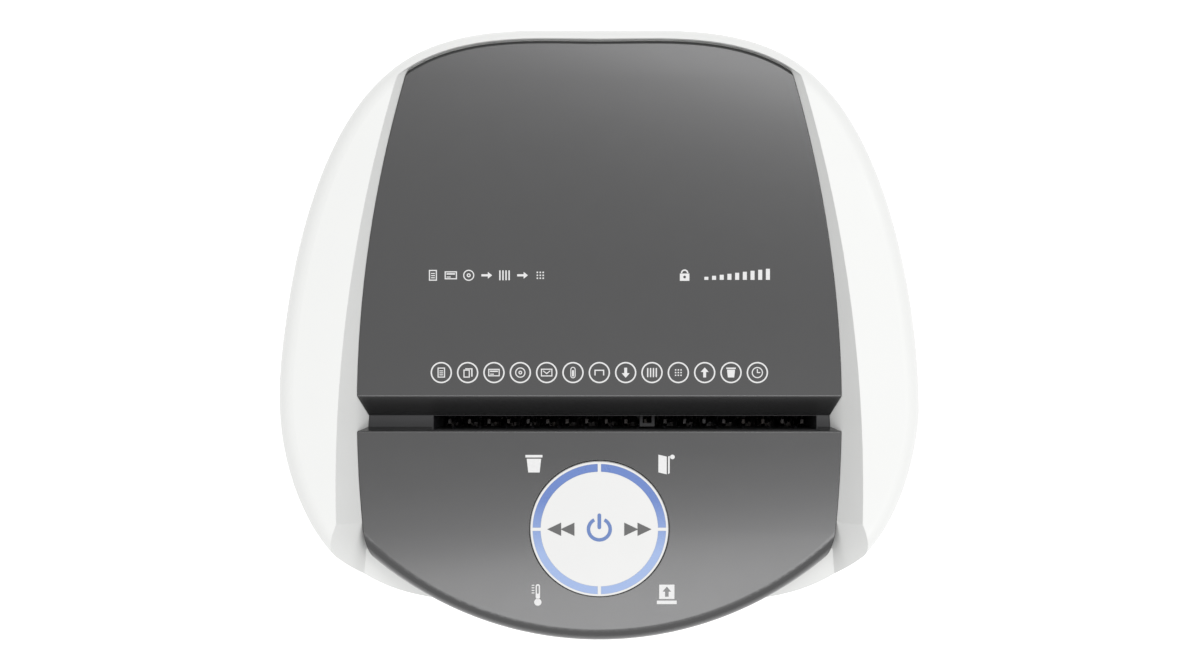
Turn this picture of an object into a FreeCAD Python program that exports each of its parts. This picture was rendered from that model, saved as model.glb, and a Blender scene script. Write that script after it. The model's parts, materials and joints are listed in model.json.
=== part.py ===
"""Office paper shredder: white egg-shaped casing, dark sloping top with a paper slot, a round control disc,
a pull-out bin and four twin-wheel casters. Millimetres, +Z up, front towards -Y, origin on the floor at the
middle of the footprint."""

import FreeCAD, Part

import math
import os

V = FreeCAD.Vector
X_AXIS = V(1, 0, 0)
Y_AXIS = V(0, 1, 0)
Z_AXIS = V(0, 0, 1)

# ---------------------------------------------------------------- driving dimensions
# Casing plan outline, the same for head and cabinet
HEAD_WIDTH = 382.0
BODY_REAR_Y = 183.0
BODY_FRONT_Y = -163.0
BODY_WIDEST_Y = -41.0
REAR_POWERS = (1.70, 4.10)
FRONT_POWERS = (1.73, 4.85)
OUTLINE_STEPS = 32

# Heights of the stack, from the floor up
CASTER_HEIGHT = 46.0
BASE_HEIGHT = 22.0
CABINET_HEIGHT = 331.0
HEAD_HEIGHT = 158.0
SEAM = 3.0
SHADOW_DEPTH = 2.0
BASE_SHRINK = 0.94

# Walls and fits
WALL = 3.5
COVER_WALL = 3.0
TRIM_GAP = 0.35
PANEL_GAP = 1.5
RUN_CLEARANCE = 0.06
SEAT_GAP = 0.2
SLIDE_GAP = 0.1

# Head: white wings beside the dark top
WING_CROWN_RADIUS = 2200.0
WING_APEX_Y = 10.0
WING_DROP_Y = -112.0
WING_DROP_RADIUS = 45.0
WING_DROP_ANGLE = 34.0
SHOULDER_RADIUS = 9.0
WING_WIDTH = 43.0
FLANK_RADIUS = 1080.0
FLANK_CENTRE_Y = -120.0
FLANK_DRAFT = 28.0
FLARE_Y = -112.0
FLARE_LEAN = 0.42
REAR_RIM = 5.4
REAR_GAP = 1.0
REAR_EDGE_RADIUS = 1.8

# Dark top surface: one large arc that falls towards the front
TOP_ARC_RADIUS = 1250.0
TOP_ARC_APEX_Y = 100.0
TOP_ARC_DROP = 11.0
TONGUE_RADIUS = 209.0
TONGUE_FRONT_Y = -184.5
TONGUE_LIP = 14.0
TONGUE_EDGE_RADIUS = 9.0

# Paper slot and the groove it lies in
SLOT_Y = -52.0
SLOT_LENGTH = 231.0
SLOT_CENTRE_X = 15.5
SLOT_MOUTH = 8.5
SLOT_FOOT = 6.0
GROOVE_DEPTH = 12.3
GUIDE_RUN = 12.0
THROAT_HEIGHT = 36.0
RIB_PITCH = 16.0
FUNNEL_SIDE_WALL = 3.0
FUNNEL_END_WALL = 2.0
FUNNEL_TAPER = 4.5

# Control disc
DISC_Y = -116.0
DISC_RADIUS = 41.6
DISC_THICKNESS = 3.6
DISC_PROUD = 0.8
RING_OUTER = 40.2
RING_INNER = 35.4
RING_DEPTH = 1.2
RING_BREAK = 2.0

# Cutting block
DRUM_SPACING = 28.0
DISC_REACH = 18.0
CUTTER_SPACING = 4.02
CUTTER_THICKNESS = 1.8
DISCS_PER_TWIST = 3
CUTTER_TEETH = 8
TOOTH_DEPTH = 2.4
CORE_RADIUS = 8.6
JOURNAL_RADIUS = 6.0
PLATE_THICKNESS = 3.0
BUSH_WALL = 4.0
BUSH_LENGTH = 8.0
ROD_RADIUS = 4.0

# Gear train: teeth, widths and the angles of the gear centres
PRESSURE_ANGLE = 25.0
ADDENDUM = 0.8
DEDENDUM = 1.05
BACKLASH = 0.16
SYNC_TEETH = 16
SYNC_WIDTH = 9.0
DRIVE_MODULE = 1.5
DRIVE_TEETH = 44
PINION_TEETH = 14
DRIVE_WIDTH = 11.0
MOTOR_MODULE = 1.0
WHEEL_TEETH = 60
MOTOR_TEETH = 12
WHEEL_WIDTH = 8.0
REDUCTION_ANGLE = -10.0
MOTOR_ANGLE = -5.0
GEAR_GAP = 2.5

# Motor
MOTOR_RADIUS = 36.0
MOTOR_LENGTH = 118.0
MOTOR_SHAFT_RADIUS = 4.0
ARMATURE_RADIUS = 22.0

# Bin
BIN_FACE_SIDE = 42.0
BIN_WALL = 2.2
BIN_CLEARANCE = 14.0
BIN_REAR_Y = 132.0
BIN_CORNER = 34.0
BIN_TRAVEL = 300.0
WINDOW_WIDTH = 58.0
WINDOW_HEIGHT = 170.0
GRIP_WIDTH = 120.0
GRIP_HEIGHT = 30.0
GRIP_DEPTH = 20.0
GRIP_DROP = 16.0
GRIP_WALL = 2.5

# Casters
WHEEL_RADIUS = 19.0
WHEEL_TREAD = 10.0
WEB_THICKNESS = 7.0
CASTER_TRAIL = 15.0
STEM_RADIUS = 4.0
FRONT_CASTER = (124.0, -96.0)
REAR_CASTER = (106.0, 112.0)

# Rear sockets
INLET_X = 21.0
ROCKER_X = 80.0
SOCKET_DROP = 105.0

# ---------------------------------------------------------------- levels and places worked out from them
BASE_Z = CASTER_HEIGHT
CABINET_Z = BASE_Z + BASE_HEIGHT
CABINET_TOP = CABINET_Z + CABINET_HEIGHT
HEAD_Z = CABINET_TOP + SEAM
TOP_Z = HEAD_Z + HEAD_HEIGHT
SIDE = HEAD_WIDTH / 2 + 60
PANEL_HALF = HEAD_WIDTH / 2 - WING_WIDTH
PANEL_REF_Z = TOP_Z - 20.0
BIN_FACE_HALF = HEAD_WIDTH / 2 - BIN_FACE_SIDE
DRAFT = math.tan(math.radians(FLANK_DRAFT))
SLOT_LEFT = SLOT_CENTRE_X - SLOT_LENGTH / 2
SLOT_RIGHT = SLOT_CENTRE_X + SLOT_LENGTH / 2
SLOT_REAR_Y = SLOT_Y + SLOT_MOUTH / 2
SLOT_FRONT_Y = SLOT_Y - SLOT_MOUTH / 2
GUIDE_TOP_Y = SLOT_REAR_Y + GUIDE_RUN


def top_z(y):
    """Height of the dark top surface at a station along its length."""
    drop = TOP_ARC_RADIUS - math.sqrt(TOP_ARC_RADIUS**2 - (y - TOP_ARC_APEX_Y) ** 2)
    return TOP_Z - TOP_ARC_DROP - drop


GROOVE_Z = top_z(SLOT_REAR_Y) - GROOVE_DEPTH
THROAT_FLANGE = 3.0
FLOOR_THICKNESS = 3.0
LEDGE_Z = GROOVE_Z - THROAT_FLANGE - 10.5
THROAT_FOOT_Z = GROOVE_Z - THROAT_HEIGHT
DRUM_Z = THROAT_FOOT_Z - DISC_REACH - 3.0
REAR_DRUM_Y = SLOT_Y + DRUM_SPACING / 2
FRONT_DRUM_Y = SLOT_Y - DRUM_SPACING / 2
CHIN_Y = BODY_FRONT_Y + 34.0
CHIN_SLOPE = 30.0
TONGUE_CENTRE_Y = TONGUE_FRONT_Y + TONGUE_RADIUS

PLATE_LEFT_X = SLOT_LEFT - 4.0
PLATE_RIGHT_X = SLOT_RIGHT + 4.0
CUTTER_COUNT = round((SLOT_LENGTH - 6.0) / CUTTER_SPACING)
CUTTER_PITCH = (SLOT_LENGTH - 6.0) / CUTTER_COUNT
SYNC_X = PLATE_LEFT_X - PLATE_THICKNESS - GEAR_GAP - BUSH_LENGTH / 2
DRIVE_X = SYNC_X - SYNC_WIDTH - GEAR_GAP
WHEEL_X = DRIVE_X - DRIVE_WIDTH - GEAR_GAP
OUTER_PLATE_X = WHEEL_X - WHEEL_WIDTH - GEAR_GAP
SYNC_MODULE = DRUM_SPACING / SYNC_TEETH
GEAR_SEAT_RADIUS = JOURNAL_RADIUS - 1.0
REDUCTION_DISTANCE = DRIVE_MODULE * (DRIVE_TEETH + PINION_TEETH) / 2
MOTOR_DISTANCE = MOTOR_MODULE * (WHEEL_TEETH + MOTOR_TEETH) / 2


def polar(origin, distance, degrees):
    """A (y, z) point at a distance and angle from another, the angle measured from +Y towards +Z."""
    a = math.radians(degrees)
    return (origin[0] + distance * math.cos(a), origin[1] + distance * math.sin(a))


REAR_DRUM = (REAR_DRUM_Y, DRUM_Z)
FRONT_DRUM = (FRONT_DRUM_Y, DRUM_Z)
REDUCTION = polar(REAR_DRUM, REDUCTION_DISTANCE, REDUCTION_ANGLE)
MOTOR = polar(REDUCTION, MOTOR_DISTANCE, MOTOR_ANGLE)


# ---------------------------------------------------------------- shape helpers
def box(x0, x1, y0, y1, z0, z1):
    return Part.makeBox(x1 - x0, y1 - y0, z1 - z0, V(x0, y0, z0))


def rod_x(radius, x0, x1, at):
    """Cylinder along X between two stations, centred on a (y, z) point."""
    return Part.makeCylinder(radius, x1 - x0, V(x0, at[0], at[1]), X_AXIS)


def rod_y(radius, y0, y1, x, z):
    return Part.makeCylinder(radius, y1 - y0, V(x, y0, z), Y_AXIS)


def rod_z(radius, z0, z1, x, y):
    return Part.makeCylinder(radius, z1 - z0, V(x, y, z0))


def ring_x(outer, inner, x0, x1, at):
    return rod_x(outer, x0, x1, at).cut(rod_x(inner, x0 - 1, x1 + 1, at))


def mirrored(shape):
    """The same shape on the other side of the X = 0 plane."""
    return shape.mirror(V(0, 0, 0), X_AXIS)


def outline_point(degrees):
    """Point of the casing's plan outline: 0 at its widest on the right, 90 at the rear, 270 at the front."""
    s = math.sin(math.radians(degrees))
    c = math.cos(math.radians(degrees))
    reach = BODY_REAR_Y - BODY_WIDEST_Y if s > 0 else BODY_WIDEST_Y - BODY_FRONT_Y
    fullness, flatness = REAR_POWERS if s > 0 else FRONT_POWERS
    x = HEAD_WIDTH / 2 * max(0.0, 1 - abs(s) ** fullness) ** (1 / flatness)
    return (math.copysign(x, c), BODY_WIDEST_Y + reach * s)


def outline_half(y):
    """Half the casing's width at a station behind its widest place."""
    share = (y - BODY_WIDEST_Y) / (BODY_REAR_Y - BODY_WIDEST_Y)
    fullness, flatness = REAR_POWERS
    return HEAD_WIDTH / 2 * (1 - share**fullness) ** (1 / flatness)


def outline_wire(z, inset=0.0, shrink=1.0):
    """The plan outline as one closed smooth curve at height z, moved in by inset and scaled."""
    points = []
    middle = (BODY_REAR_Y + BODY_FRONT_Y) / 2
    for i in range(OUTLINE_STEPS):
        t = 360.0 * i / OUTLINE_STEPS
        (x, y), (xa, ya), (xb, yb) = outline_point(t), outline_point(t - 0.5), outline_point(t + 0.5)
        run = math.hypot(xb - xa, yb - ya)
        nx, ny = (yb - ya) / run, -(xb - xa) / run
        x, y = x * shrink - nx * inset, middle + (y - middle) * shrink - ny * inset
        points.append(V(x, y, z))
    curve = Part.BSplineCurve()
    curve.interpolate(Points=points, PeriodicFlag=True)
    return Part.Wire([curve.toShape()])


def body_prism(z0, z1, inset=0.0):
    """Upright block of the casing's plan outline."""
    return Part.Face(outline_wire(z0, inset)).extrude(V(0, 0, z1 - z0))


def shrink_at(z):
    """How far the plan has drawn in at a height of the cabinet, which narrows towards its foot."""
    share = (CABINET_TOP - z) / (CABINET_TOP - BASE_Z)
    return 1.0 - (1.0 - BASE_SHRINK) * share


def tapered_body(z0, z1, inset=0.0):
    """Block of the casing's plan outline that follows the cabinet's taper."""
    wires = [outline_wire(z, inset, shrink_at(z)) for z in (z0, z1)]
    return Part.makeLoft(wires, True, True)


def arc_yz(centre, radius, start, end):
    """Arc edge in the YZ plane; angles in degrees from +Z, positive towards +Y."""

    def at(degrees):
        a = math.radians(degrees)
        return V(0, centre[0] + radius * math.sin(a), centre[1] + radius * math.cos(a))

    return Part.Arc(at(start), at((start + end) / 2), at(end)).toShape(), at(start), at(end)


def section_block(edges, x0, x1):
    """Closed YZ outline, as edges at X = 0, swept along X."""
    face = Part.Face(Part.Wire(edges))
    face.translate(V(x0, 0, 0))
    return face.extrude(V(x1 - x0, 0, 0))


def line(a, b):
    return Part.LineSegment(a, b).toShape()


def polygon_block(points, x0, x1):
    """Polygon of (y, z) points swept along X."""
    corners = [V(x0, y, z) for y, z in points]
    return Part.Face(Part.makePolygon(corners + corners[:1])).extrude(V(x1 - x0, 0, 0))


def under_wing_form(lower=0.0):
    """Everything below the white top form: a crowned arc that turns down at the front."""
    centre = (WING_APEX_Y, TOP_Z - lower - WING_CROWN_RADIUS)
    drop = math.degrees(math.asin((WING_DROP_Y - WING_APEX_Y) / WING_CROWN_RADIUS))
    rear = math.degrees(math.asin((BODY_REAR_Y + 30 - WING_APEX_Y) / WING_CROWN_RADIUS))
    crown, rear_point, _ = arc_yz(centre, WING_CROWN_RADIUS, rear, drop)
    a = math.radians(drop)
    reach = WING_CROWN_RADIUS - WING_DROP_RADIUS
    bend_centre = (centre[0] + reach * math.sin(a), centre[1] + reach * math.cos(a))
    bend, _, bend_end = arc_yz(bend_centre, WING_DROP_RADIUS, drop, -WING_DROP_ANGLE)
    fall = math.tan(math.radians(WING_DROP_ANGLE))
    front_y = BODY_FRONT_Y - 60
    front = V(0, front_y, bend_end.z - fall * (bend_end.y - front_y))
    floor_z = HEAD_Z - 20
    front_foot, rear_foot = V(0, front_y, floor_z), V(0, rear_point.y, floor_z)
    edges = [crown, bend, line(bend_end, front), line(front, front_foot)]
    edges += [line(front_foot, rear_foot), line(rear_foot, rear_point)]
    return section_block(edges, -SIDE, SIDE)


def top_arc(y0, y1, lower=0.0):
    """Arc of the dark top surface between two stations, and its two ends."""
    centre = (TOP_ARC_APEX_Y, TOP_Z - TOP_ARC_DROP - TOP_ARC_RADIUS)
    radius = TOP_ARC_RADIUS - lower
    angles = [math.degrees(math.asin((y - TOP_ARC_APEX_Y) / radius)) for y in (y0, y1)]
    return arc_yz(centre, radius, *angles)


def between_flanks(z0, z1, grow=0.0):
    """The space between the two sloping flanks, moved outwards by grow; each is a large cone's wall."""
    centre = V(FLANK_RADIUS - PANEL_HALF, FLANK_CENTRE_Y, z0)
    r0 = FLANK_RADIUS + grow + (z0 - PANEL_REF_Z) * DRAFT
    r1 = FLANK_RADIUS + grow + (z1 - PANEL_REF_Z) * DRAFT
    left = Part.makeCone(r0, r1, z1 - z0, centre, Z_AXIS)
    return left.common(mirrored(left))


def front_flare(z0, z1, grow=0.0):
    """The space in front of the station where each flank bends outwards to the casing's front."""
    reach = FLARE_Y - TONGUE_FRONT_Y + 30
    wires = []
    for z in (z0, z1):
        near = PANEL_HALF + (z - PANEL_REF_Z) * DRAFT + grow * math.hypot(1, FLARE_LEAN)
        far = near + FLARE_LEAN * reach
        front_y = FLARE_Y - reach
        plan = [(-near, FLARE_Y), (-far, front_y), (far, front_y), (near, FLARE_Y), (-near, FLARE_Y)]
        wires.append(Part.makePolygon([V(x, y, z) for x, y in plan]))
    return Part.makeLoft(wires, True, True)


def chin_z(y, lower=0.0):
    """Height of the sloping seat in front of the ledge, which carries the chin of the fascia."""
    return LEDGE_Z - lower - max(0.0, CHIN_Y - y) * math.tan(math.radians(CHIN_SLOPE))


def disc_frame():
    """Placement of the control disc: on the top surface at its station, square to it."""
    tilt = math.degrees(math.asin((TOP_ARC_APEX_Y - DISC_Y) / TOP_ARC_RADIUS))
    return FreeCAD.Placement(V(0, DISC_Y, top_z(DISC_Y)), FreeCAD.Rotation(X_AXIS, tilt))


def in_disc_frame(shape):
    placed = shape.copy()
    placed.Placement = disc_frame().multiply(placed.Placement)
    return placed


def edges_where(shape, test):
    return [e for e in shape.Edges if test(e)]


# ---------------------------------------------------------------- head casing
def head_shell():
    """White one-piece head casing: wings, rear rim, front apron and the dark covers' ledge."""
    outer = body_prism(HEAD_Z, TOP_Z + 30).common(under_wing_form())
    shoulder_z = TOP_Z - 75
    rim = edges_where(outer, lambda e: e.BoundBox.ZMin > shoulder_z and e.BoundBox.YLength > 1)
    outer = outer.makeFillet(SHOULDER_RADIUS, rim)
    top_wall = WALL + 1.0
    inner = body_prism(HEAD_Z - 1, TOP_Z + 30, WALL).common(under_wing_form(top_wall))
    return outer.cut(valley()).cut(inner.cut(valley_walls())).cut(mechanism_window())


def ledge_outline(lower, rear_arc_lower):
    """Closed YZ outline of all above the ledge: seat at the rear, step at the groove, chin slope."""
    step_y = GUIDE_TOP_Y + 6.0
    rear_y = BODY_REAR_Y + 20
    arc, rear_point, step_top = top_arc(rear_y, step_y, rear_arc_lower)
    step_foot = V(0, step_y, LEDGE_Z - lower)
    chin = V(0, CHIN_Y, LEDGE_Z - lower)
    front_y = TONGUE_FRONT_Y - 20
    front = V(0, front_y, chin_z(front_y, lower))
    roof_z = TOP_Z + 60
    front_roof, rear_roof = V(0, front_y, roof_z), V(0, rear_y, roof_z)
    edges = [arc, line(step_top, step_foot), line(step_foot, chin), line(chin, front)]
    edges += [line(front, front_roof), line(front_roof, rear_roof), line(rear_roof, rear_point)]
    return section_block(edges, -SIDE, SIDE)


def valley():
    """What the dark top takes out of the white casing."""
    low, high = LEDGE_Z - 60, TOP_Z + 40
    plan = body_prism(low, high, REAR_RIM).fuse(box(-SIDE, SIDE, TONGUE_FRONT_Y - 30, SLOT_Y, low, high))
    space = between_flanks(low, high).fuse(front_flare(low, high))
    return space.common(plan).common(ledge_outline(0, COVER_WALL + SEAT_GAP))


def valley_walls():
    """The valley with its flank and ledge walls added, so that the hollow stops short of it."""
    low, high = LEDGE_Z - 64, TOP_Z + 40
    space = between_flanks(low, high, WALL).fuse(front_flare(low, high, WALL))
    return space.common(ledge_outline(WALL, COVER_WALL + SEAT_GAP + WALL))


def mechanism_window():
    """Opening through the ledge, over the cutting block and the motor."""
    low, high = HEAD_Z + 30, TOP_Z + 40
    shelf = 13.0
    window = between_flanks(low, high, -shelf).common(body_prism(low, high, REAR_RIM + shelf))
    window = window.common(box(-SIDE, SIDE, CHIN_Y + 8, BODY_REAR_Y, low, high))
    end, side = FUNNEL_END_WALL + TRIM_GAP, FUNNEL_SIDE_WALL + TRIM_GAP
    notch = passage_block(LEDGE_Z - WALL - 1, LEDGE_Z + 1, end, side)
    return window.fuse(notch)


def rear_cover():
    """Dark curved panel behind the slot, with the paper guide that falls into the groove."""
    rear_y = BODY_REAR_Y + 15
    outer, rear_top, guide_top = top_arc(rear_y, GUIDE_TOP_Y)
    guide_foot = V(0, SLOT_REAR_Y + 0.3, GROOVE_Z + 0.5)
    fall = guide_top - guide_foot
    back_foot = guide_foot + V(0, COVER_WALL * fall.Length / fall.z, 0)
    rise = (guide_top.z - COVER_WALL - back_foot.z) / fall.z
    inner, inner_rear, inner_front = top_arc(rear_y, back_foot.y + fall.y * rise, COVER_WALL)
    edges = [outer, line(guide_top, guide_foot), line(guide_foot, back_foot), line(back_foot, inner_front)]
    edges += [inner, line(inner_rear, rear_top)]
    sheet = section_block(edges, -SIDE, SIDE)
    low, high = GROOVE_Z - 20, TOP_Z + 30
    plan = between_flanks(low, high, -TRIM_GAP).common(body_prism(low, high, REAR_RIM + REAR_GAP))
    cover = sheet.common(plan)
    rear_edge = edges_where(
        cover,
        lambda e: e.BoundBox.YMax > BODY_REAR_Y - REAR_RIM - REAR_GAP - 2
        and e.BoundBox.XLength > 60
        and e.BoundBox.ZMax > top_z(BODY_REAR_Y) + 0.1,
    )
    cover = cover.makeFillet(REAR_EDGE_RADIUS, rear_edge)
    lip_z = top_z(GUIDE_TOP_Y)
    front_lip = edges_where(
        cover,
        lambda e: abs(e.BoundBox.ZMin - lip_z) < 0.01
        and abs(e.BoundBox.YMax - GUIDE_TOP_Y) < 0.01
        and e.BoundBox.XLength > 50,
    )
    return cover.makeFillet(1.2, front_lip)


def fascia_block(grow, lower, lip_reach):
    """Solid form of the front dark cover. grow moves its sides, lower its top, lip_reach its front edge."""
    rear_y = SLOT_FRONT_Y - 0.4 + grow
    arc, front_top, rear_top = top_arc(TONGUE_FRONT_Y - 20, rear_y, lower)
    seat = LEDGE_Z + 0.3
    slope = math.tan(math.radians(CHIN_SLOPE))
    chin_front_y = BODY_FRONT_Y + 0.5
    chin_front = V(0, chin_front_y, seat - slope * (CHIN_Y - chin_front_y))
    lip_y = TONGUE_FRONT_Y - 20
    lip_foot_z = top_z(TONGUE_FRONT_Y) - TONGUE_LIP
    lip_foot = V(0, TONGUE_FRONT_Y, lip_foot_z)
    lip_out = V(0, lip_y, lip_foot_z)
    rear_foot, chin = V(0, rear_y, seat), V(0, CHIN_Y, seat)
    edges = [arc, line(rear_top, rear_foot), line(rear_foot, chin), line(chin, chin_front)]
    edges += [line(chin_front, lip_foot), line(lip_foot, lip_out), line(lip_out, front_top)]
    low, high = LEDGE_Z - 50, TOP_Z + 30
    plan = between_flanks(low, high, grow - TRIM_GAP)
    tongue = rod_z(TONGUE_RADIUS + lip_reach, low, high, 0, TONGUE_CENTRE_Y)
    return section_block(edges, -SIDE, SIDE).common(plan).common(tongue)


def control_fascia():
    """Dark front cover: the tongue that overhangs the front, with a round pocket for the control disc."""
    block = fascia_block(0, 0, 0)
    edge_z = top_z(TONGUE_FRONT_Y) - 0.5
    on_tongue = lambda p: abs(math.hypot(p.x, p.y - TONGUE_CENTRE_Y) - TONGUE_RADIUS) < 0.05
    front_edge = edges_where(
        block,
        lambda e: e.BoundBox.ZMax > edge_z
        and e.BoundBox.XLength > 100
        and all(on_tongue(e.valueAt(p)) for p in (e.FirstParameter, e.LastParameter)),
    )
    block = block.makeFillet(TONGUE_EDGE_RADIUS, front_edge)
    rear_edge_y = SLOT_FRONT_Y - 0.4
    rear_edge = edges_where(
        block,
        lambda e: abs(e.BoundBox.YMin - rear_edge_y) < 0.01
        and abs(e.BoundBox.YMax - rear_edge_y) < 0.01
        and e.BoundBox.XLength > 100
        and e.BoundBox.ZMin > GROOVE_Z,
    )
    block = block.makeFillet(1.0, rear_edge)
    hollow = fascia_block(-COVER_WALL, COVER_WALL, -TONGUE_EDGE_RADIUS)
    hollow_low = hollow.copy()
    hollow_low.translate(V(0, 0, -COVER_WALL))
    hollow = hollow.fuse(hollow_low).common(body_prism(LEDGE_Z - 60, TOP_Z, WALL + 6.0))
    shell = block.cut(hollow)
    throat_room = box(-SIDE, SIDE, SLOT_FRONT_Y - 11.5, SLOT_FRONT_Y + 5, LEDGE_Z - 5, GROOVE_Z + 0.4)
    shell = shell.cut(throat_room)
    boss = in_disc_frame(rod_z(DISC_RADIUS + 4, -7.5, -1.5, 0, 0))
    pocket = in_disc_frame(rod_z(DISC_RADIUS + 0.7, DISC_PROUD - DISC_THICKNESS, 10, 0, 0))
    cable_hole = in_disc_frame(rod_z(7, -12, 10, 0, 0))
    toe = groove_toe()
    return shell.fuse(boss).fuse(toe).cut(pocket).cut(cable_hole)


def groove_toe():
    """Sloped feet of the fascia's rear wall, in the groove on both sides of the slot."""
    y = SLOT_FRONT_Y - 0.4
    foot = GROOVE_Z + 0.4
    section = [(y - 1.5, foot), (y + 2.2, foot), (y, top_z(y) - 2.0), (y - 1.5, top_z(y) - 2.0)]
    low, high = GROOVE_Z - 5, TOP_Z
    left = polygon_block(section, -SIDE, SLOT_LEFT - 1)
    right = polygon_block(section, SLOT_RIGHT + 1, SIDE)
    return left.fuse(right).common(between_flanks(low, high, -TRIM_GAP))


def slot_half_depth(z):
    """Half the paper passage's depth at a height; it narrows from the mouth to the foot."""
    share = (GROOVE_Z - z) / THROAT_HEIGHT
    return SLOT_MOUTH / 2 - (SLOT_MOUTH - SLOT_FOOT) / 2 * share


def passage_block(z0, z1, end=0.0, side=0.0):
    """Tapering block of the paper passage between two heights, grown at its ends and sides."""
    wires = []
    for z in (z0, z1):
        hx = SLOT_LENGTH / 2 - FUNNEL_TAPER * (GROOVE_Z - z) / THROAT_HEIGHT + end
        hy = slot_half_depth(z) + side
        turns = ((-1, -1), (1, -1), (1, 1), (-1, 1), (-1, -1))
        wires.append(Part.makePolygon([V(SLOT_CENTRE_X + i * hx, SLOT_Y + j * hy, z) for i, j in turns]))
    return Part.makeLoft(wires, True, True)


def paper_throat():
    """Groove floor with the slot through it, and the funnel that leads the paper down to the cutters."""
    flange_top = GROOVE_Z
    flange_low = GROOVE_Z - THROAT_FLANGE
    low, high = GROOVE_Z - 50, TOP_Z
    flange = box(-SIDE, SIDE, SLOT_FRONT_Y - 10.5, GUIDE_TOP_Y + 2, flange_low, flange_top)
    flange = flange.common(between_flanks(low, high, -TRIM_GAP))
    funnel = passage_block(THROAT_FOOT_Z, flange_low, FUNNEL_END_WALL, FUNNEL_SIDE_WALL)
    body = flange.fuse(funnel).cut(passage_block(THROAT_FOOT_Z - 1, flange_top + 1))
    ribs = []
    count = int(SLOT_LENGTH / RIB_PITCH)
    first = SLOT_CENTRE_X - RIB_PITCH * (count - 1) / 2
    for i in range(count):
        x = first + RIB_PITCH * i
        for side in (1, -1):
            edge = SLOT_Y + side * (SLOT_MOUTH / 2 + 0.5)
            inward = SLOT_Y + side * (SLOT_FOOT / 2 - 0.5)
            section = [(edge, flange_low - 6), (inward, flange_low - 12), (inward, THROAT_FOOT_Z)]
            section += [(edge, THROAT_FOOT_Z)]
            ribs.append(polygon_block(section, x - 0.7, x + 0.7))
    legs = []
    leg_x = PANEL_HALF + (LEDGE_Z - PANEL_REF_Z) * DRAFT - 12
    for x in (leg_x, -leg_x - 7):
        for y in (SLOT_FRONT_Y - 9, SLOT_REAR_Y + 6):
            legs.append(box(x, x + 7, y, y + 5, LEDGE_Z, flange_low))
    body = body.multiFuse(ribs + legs)
    notch = box(SENSOR_X - 7, SENSOR_X + 7, SLOT_Y, SLOT_REAR_Y + 10, SENSOR_Z - 12, SENSOR_Z + 4)
    return body.cut(notch).removeSplitter()


def control_disc():
    """Round white touch panel with a channel for the light ring."""
    disc = rod_z(DISC_RADIUS, DISC_PROUD - DISC_THICKNESS + 0.1, DISC_PROUD, 0, 0)
    rim = edges_where(disc, lambda e: e.BoundBox.ZMin > DISC_PROUD - 0.01 and e.BoundBox.XLength > 10)
    disc = disc.makeFillet(0.5, rim)
    return in_disc_frame(disc.cut(ring_segments(0.0)))


def ring_segments(clearance):
    """The four quarter arcs of the light ring, in the disc's own frame."""
    top = DISC_PROUD
    ring = rod_z(RING_OUTER - clearance, top - RING_DEPTH, top, 0, 0)
    ring = ring.cut(rod_z(RING_INNER + clearance, top - RING_DEPTH - 1, top + 1, 0, 0))
    half = RING_BREAK / 2 + clearance
    reach = RING_OUTER + 5
    bars = box(-half, half, -reach, reach, top - 5, top + 1)
    return ring.cut(bars).cut(box(-reach, reach, -half, half, top - 5, top + 1))


def light_ring():
    return in_disc_frame(ring_segments(0.05))


def head_base():
    """Floor of the head, with the chute that lets the particles fall into the bin."""
    floor = body_prism(HEAD_Z, HEAD_Z + FLOOR_THICKNESS, WALL + 0.4)
    chute = box(SLOT_LEFT - 1, SLOT_RIGHT + 1, SLOT_Y - 34, SLOT_Y + 34, HEAD_Z - 5, HEAD_Z + 10)
    rim_outer = box(SLOT_LEFT - 3, SLOT_RIGHT + 3, SLOT_Y - 36, SLOT_Y + 36, HEAD_Z, HEAD_Z + 10)
    return floor.fuse(rim_outer).cut(chute)


# ---------------------------------------------------------------- cutting block
def drum_spots():
    return (FRONT_DRUM, REAR_DRUM)


def bush_outer():
    return JOURNAL_RADIUS + RUN_CLEARANCE + BUSH_WALL


def rod_spots():
    """(y, z) places of the tie rods, around the drums."""
    y, z = DISC_REACH + DRUM_SPACING / 2 + 12, DISC_REACH + 9
    return [(SLOT_Y + sy * y, DRUM_Z + sz * z) for sy in (1, -1) for sz in (1, -1)]


PLATE_FOOT_Z = HEAD_Z + FLOOR_THICKNESS


def side_plate(x, rear_y):
    """Steel plate across the ends of the drums, with seats for the bushes and holes for the tie rods."""
    front_y = SLOT_Y - DISC_REACH - DRUM_SPACING / 2 - 20
    plate = box(x, x + PLATE_THICKNESS, front_y, rear_y, PLATE_FOOT_Z, DRUM_Z + DISC_REACH + 17)
    for at in drum_spots():
        plate = plate.cut(rod_x(bush_outer(), x - 1, x + PLATE_THICKNESS + 1, at))
    for at in rod_spots():
        plate = plate.cut(rod_x(ROD_RADIUS - 1.0, x - 1, x + PLATE_THICKNESS + 1, at))
    return plate


def cutter_plate_left():
    """Gear-side plate, which reaches back to carry the motor."""
    x = PLATE_LEFT_X - PLATE_THICKNESS
    plate = side_plate(x, MOTOR[0] + MOTOR_RADIUS + 6)
    plate = plate.cut(rod_x(REDUCTION_PIN, x - 1, x + PLATE_THICKNESS + 1, REDUCTION))
    return plate.cut(rod_x(MOTOR_BOSS, x - 1, x + PLATE_THICKNESS + 1, MOTOR))


def cutter_plate_right():
    return side_plate(PLATE_RIGHT_X, SLOT_Y + DISC_REACH + DRUM_SPACING / 2 + 20)


REDUCTION_PIN = 4.0
MOTOR_BOSS = 9.0


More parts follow.
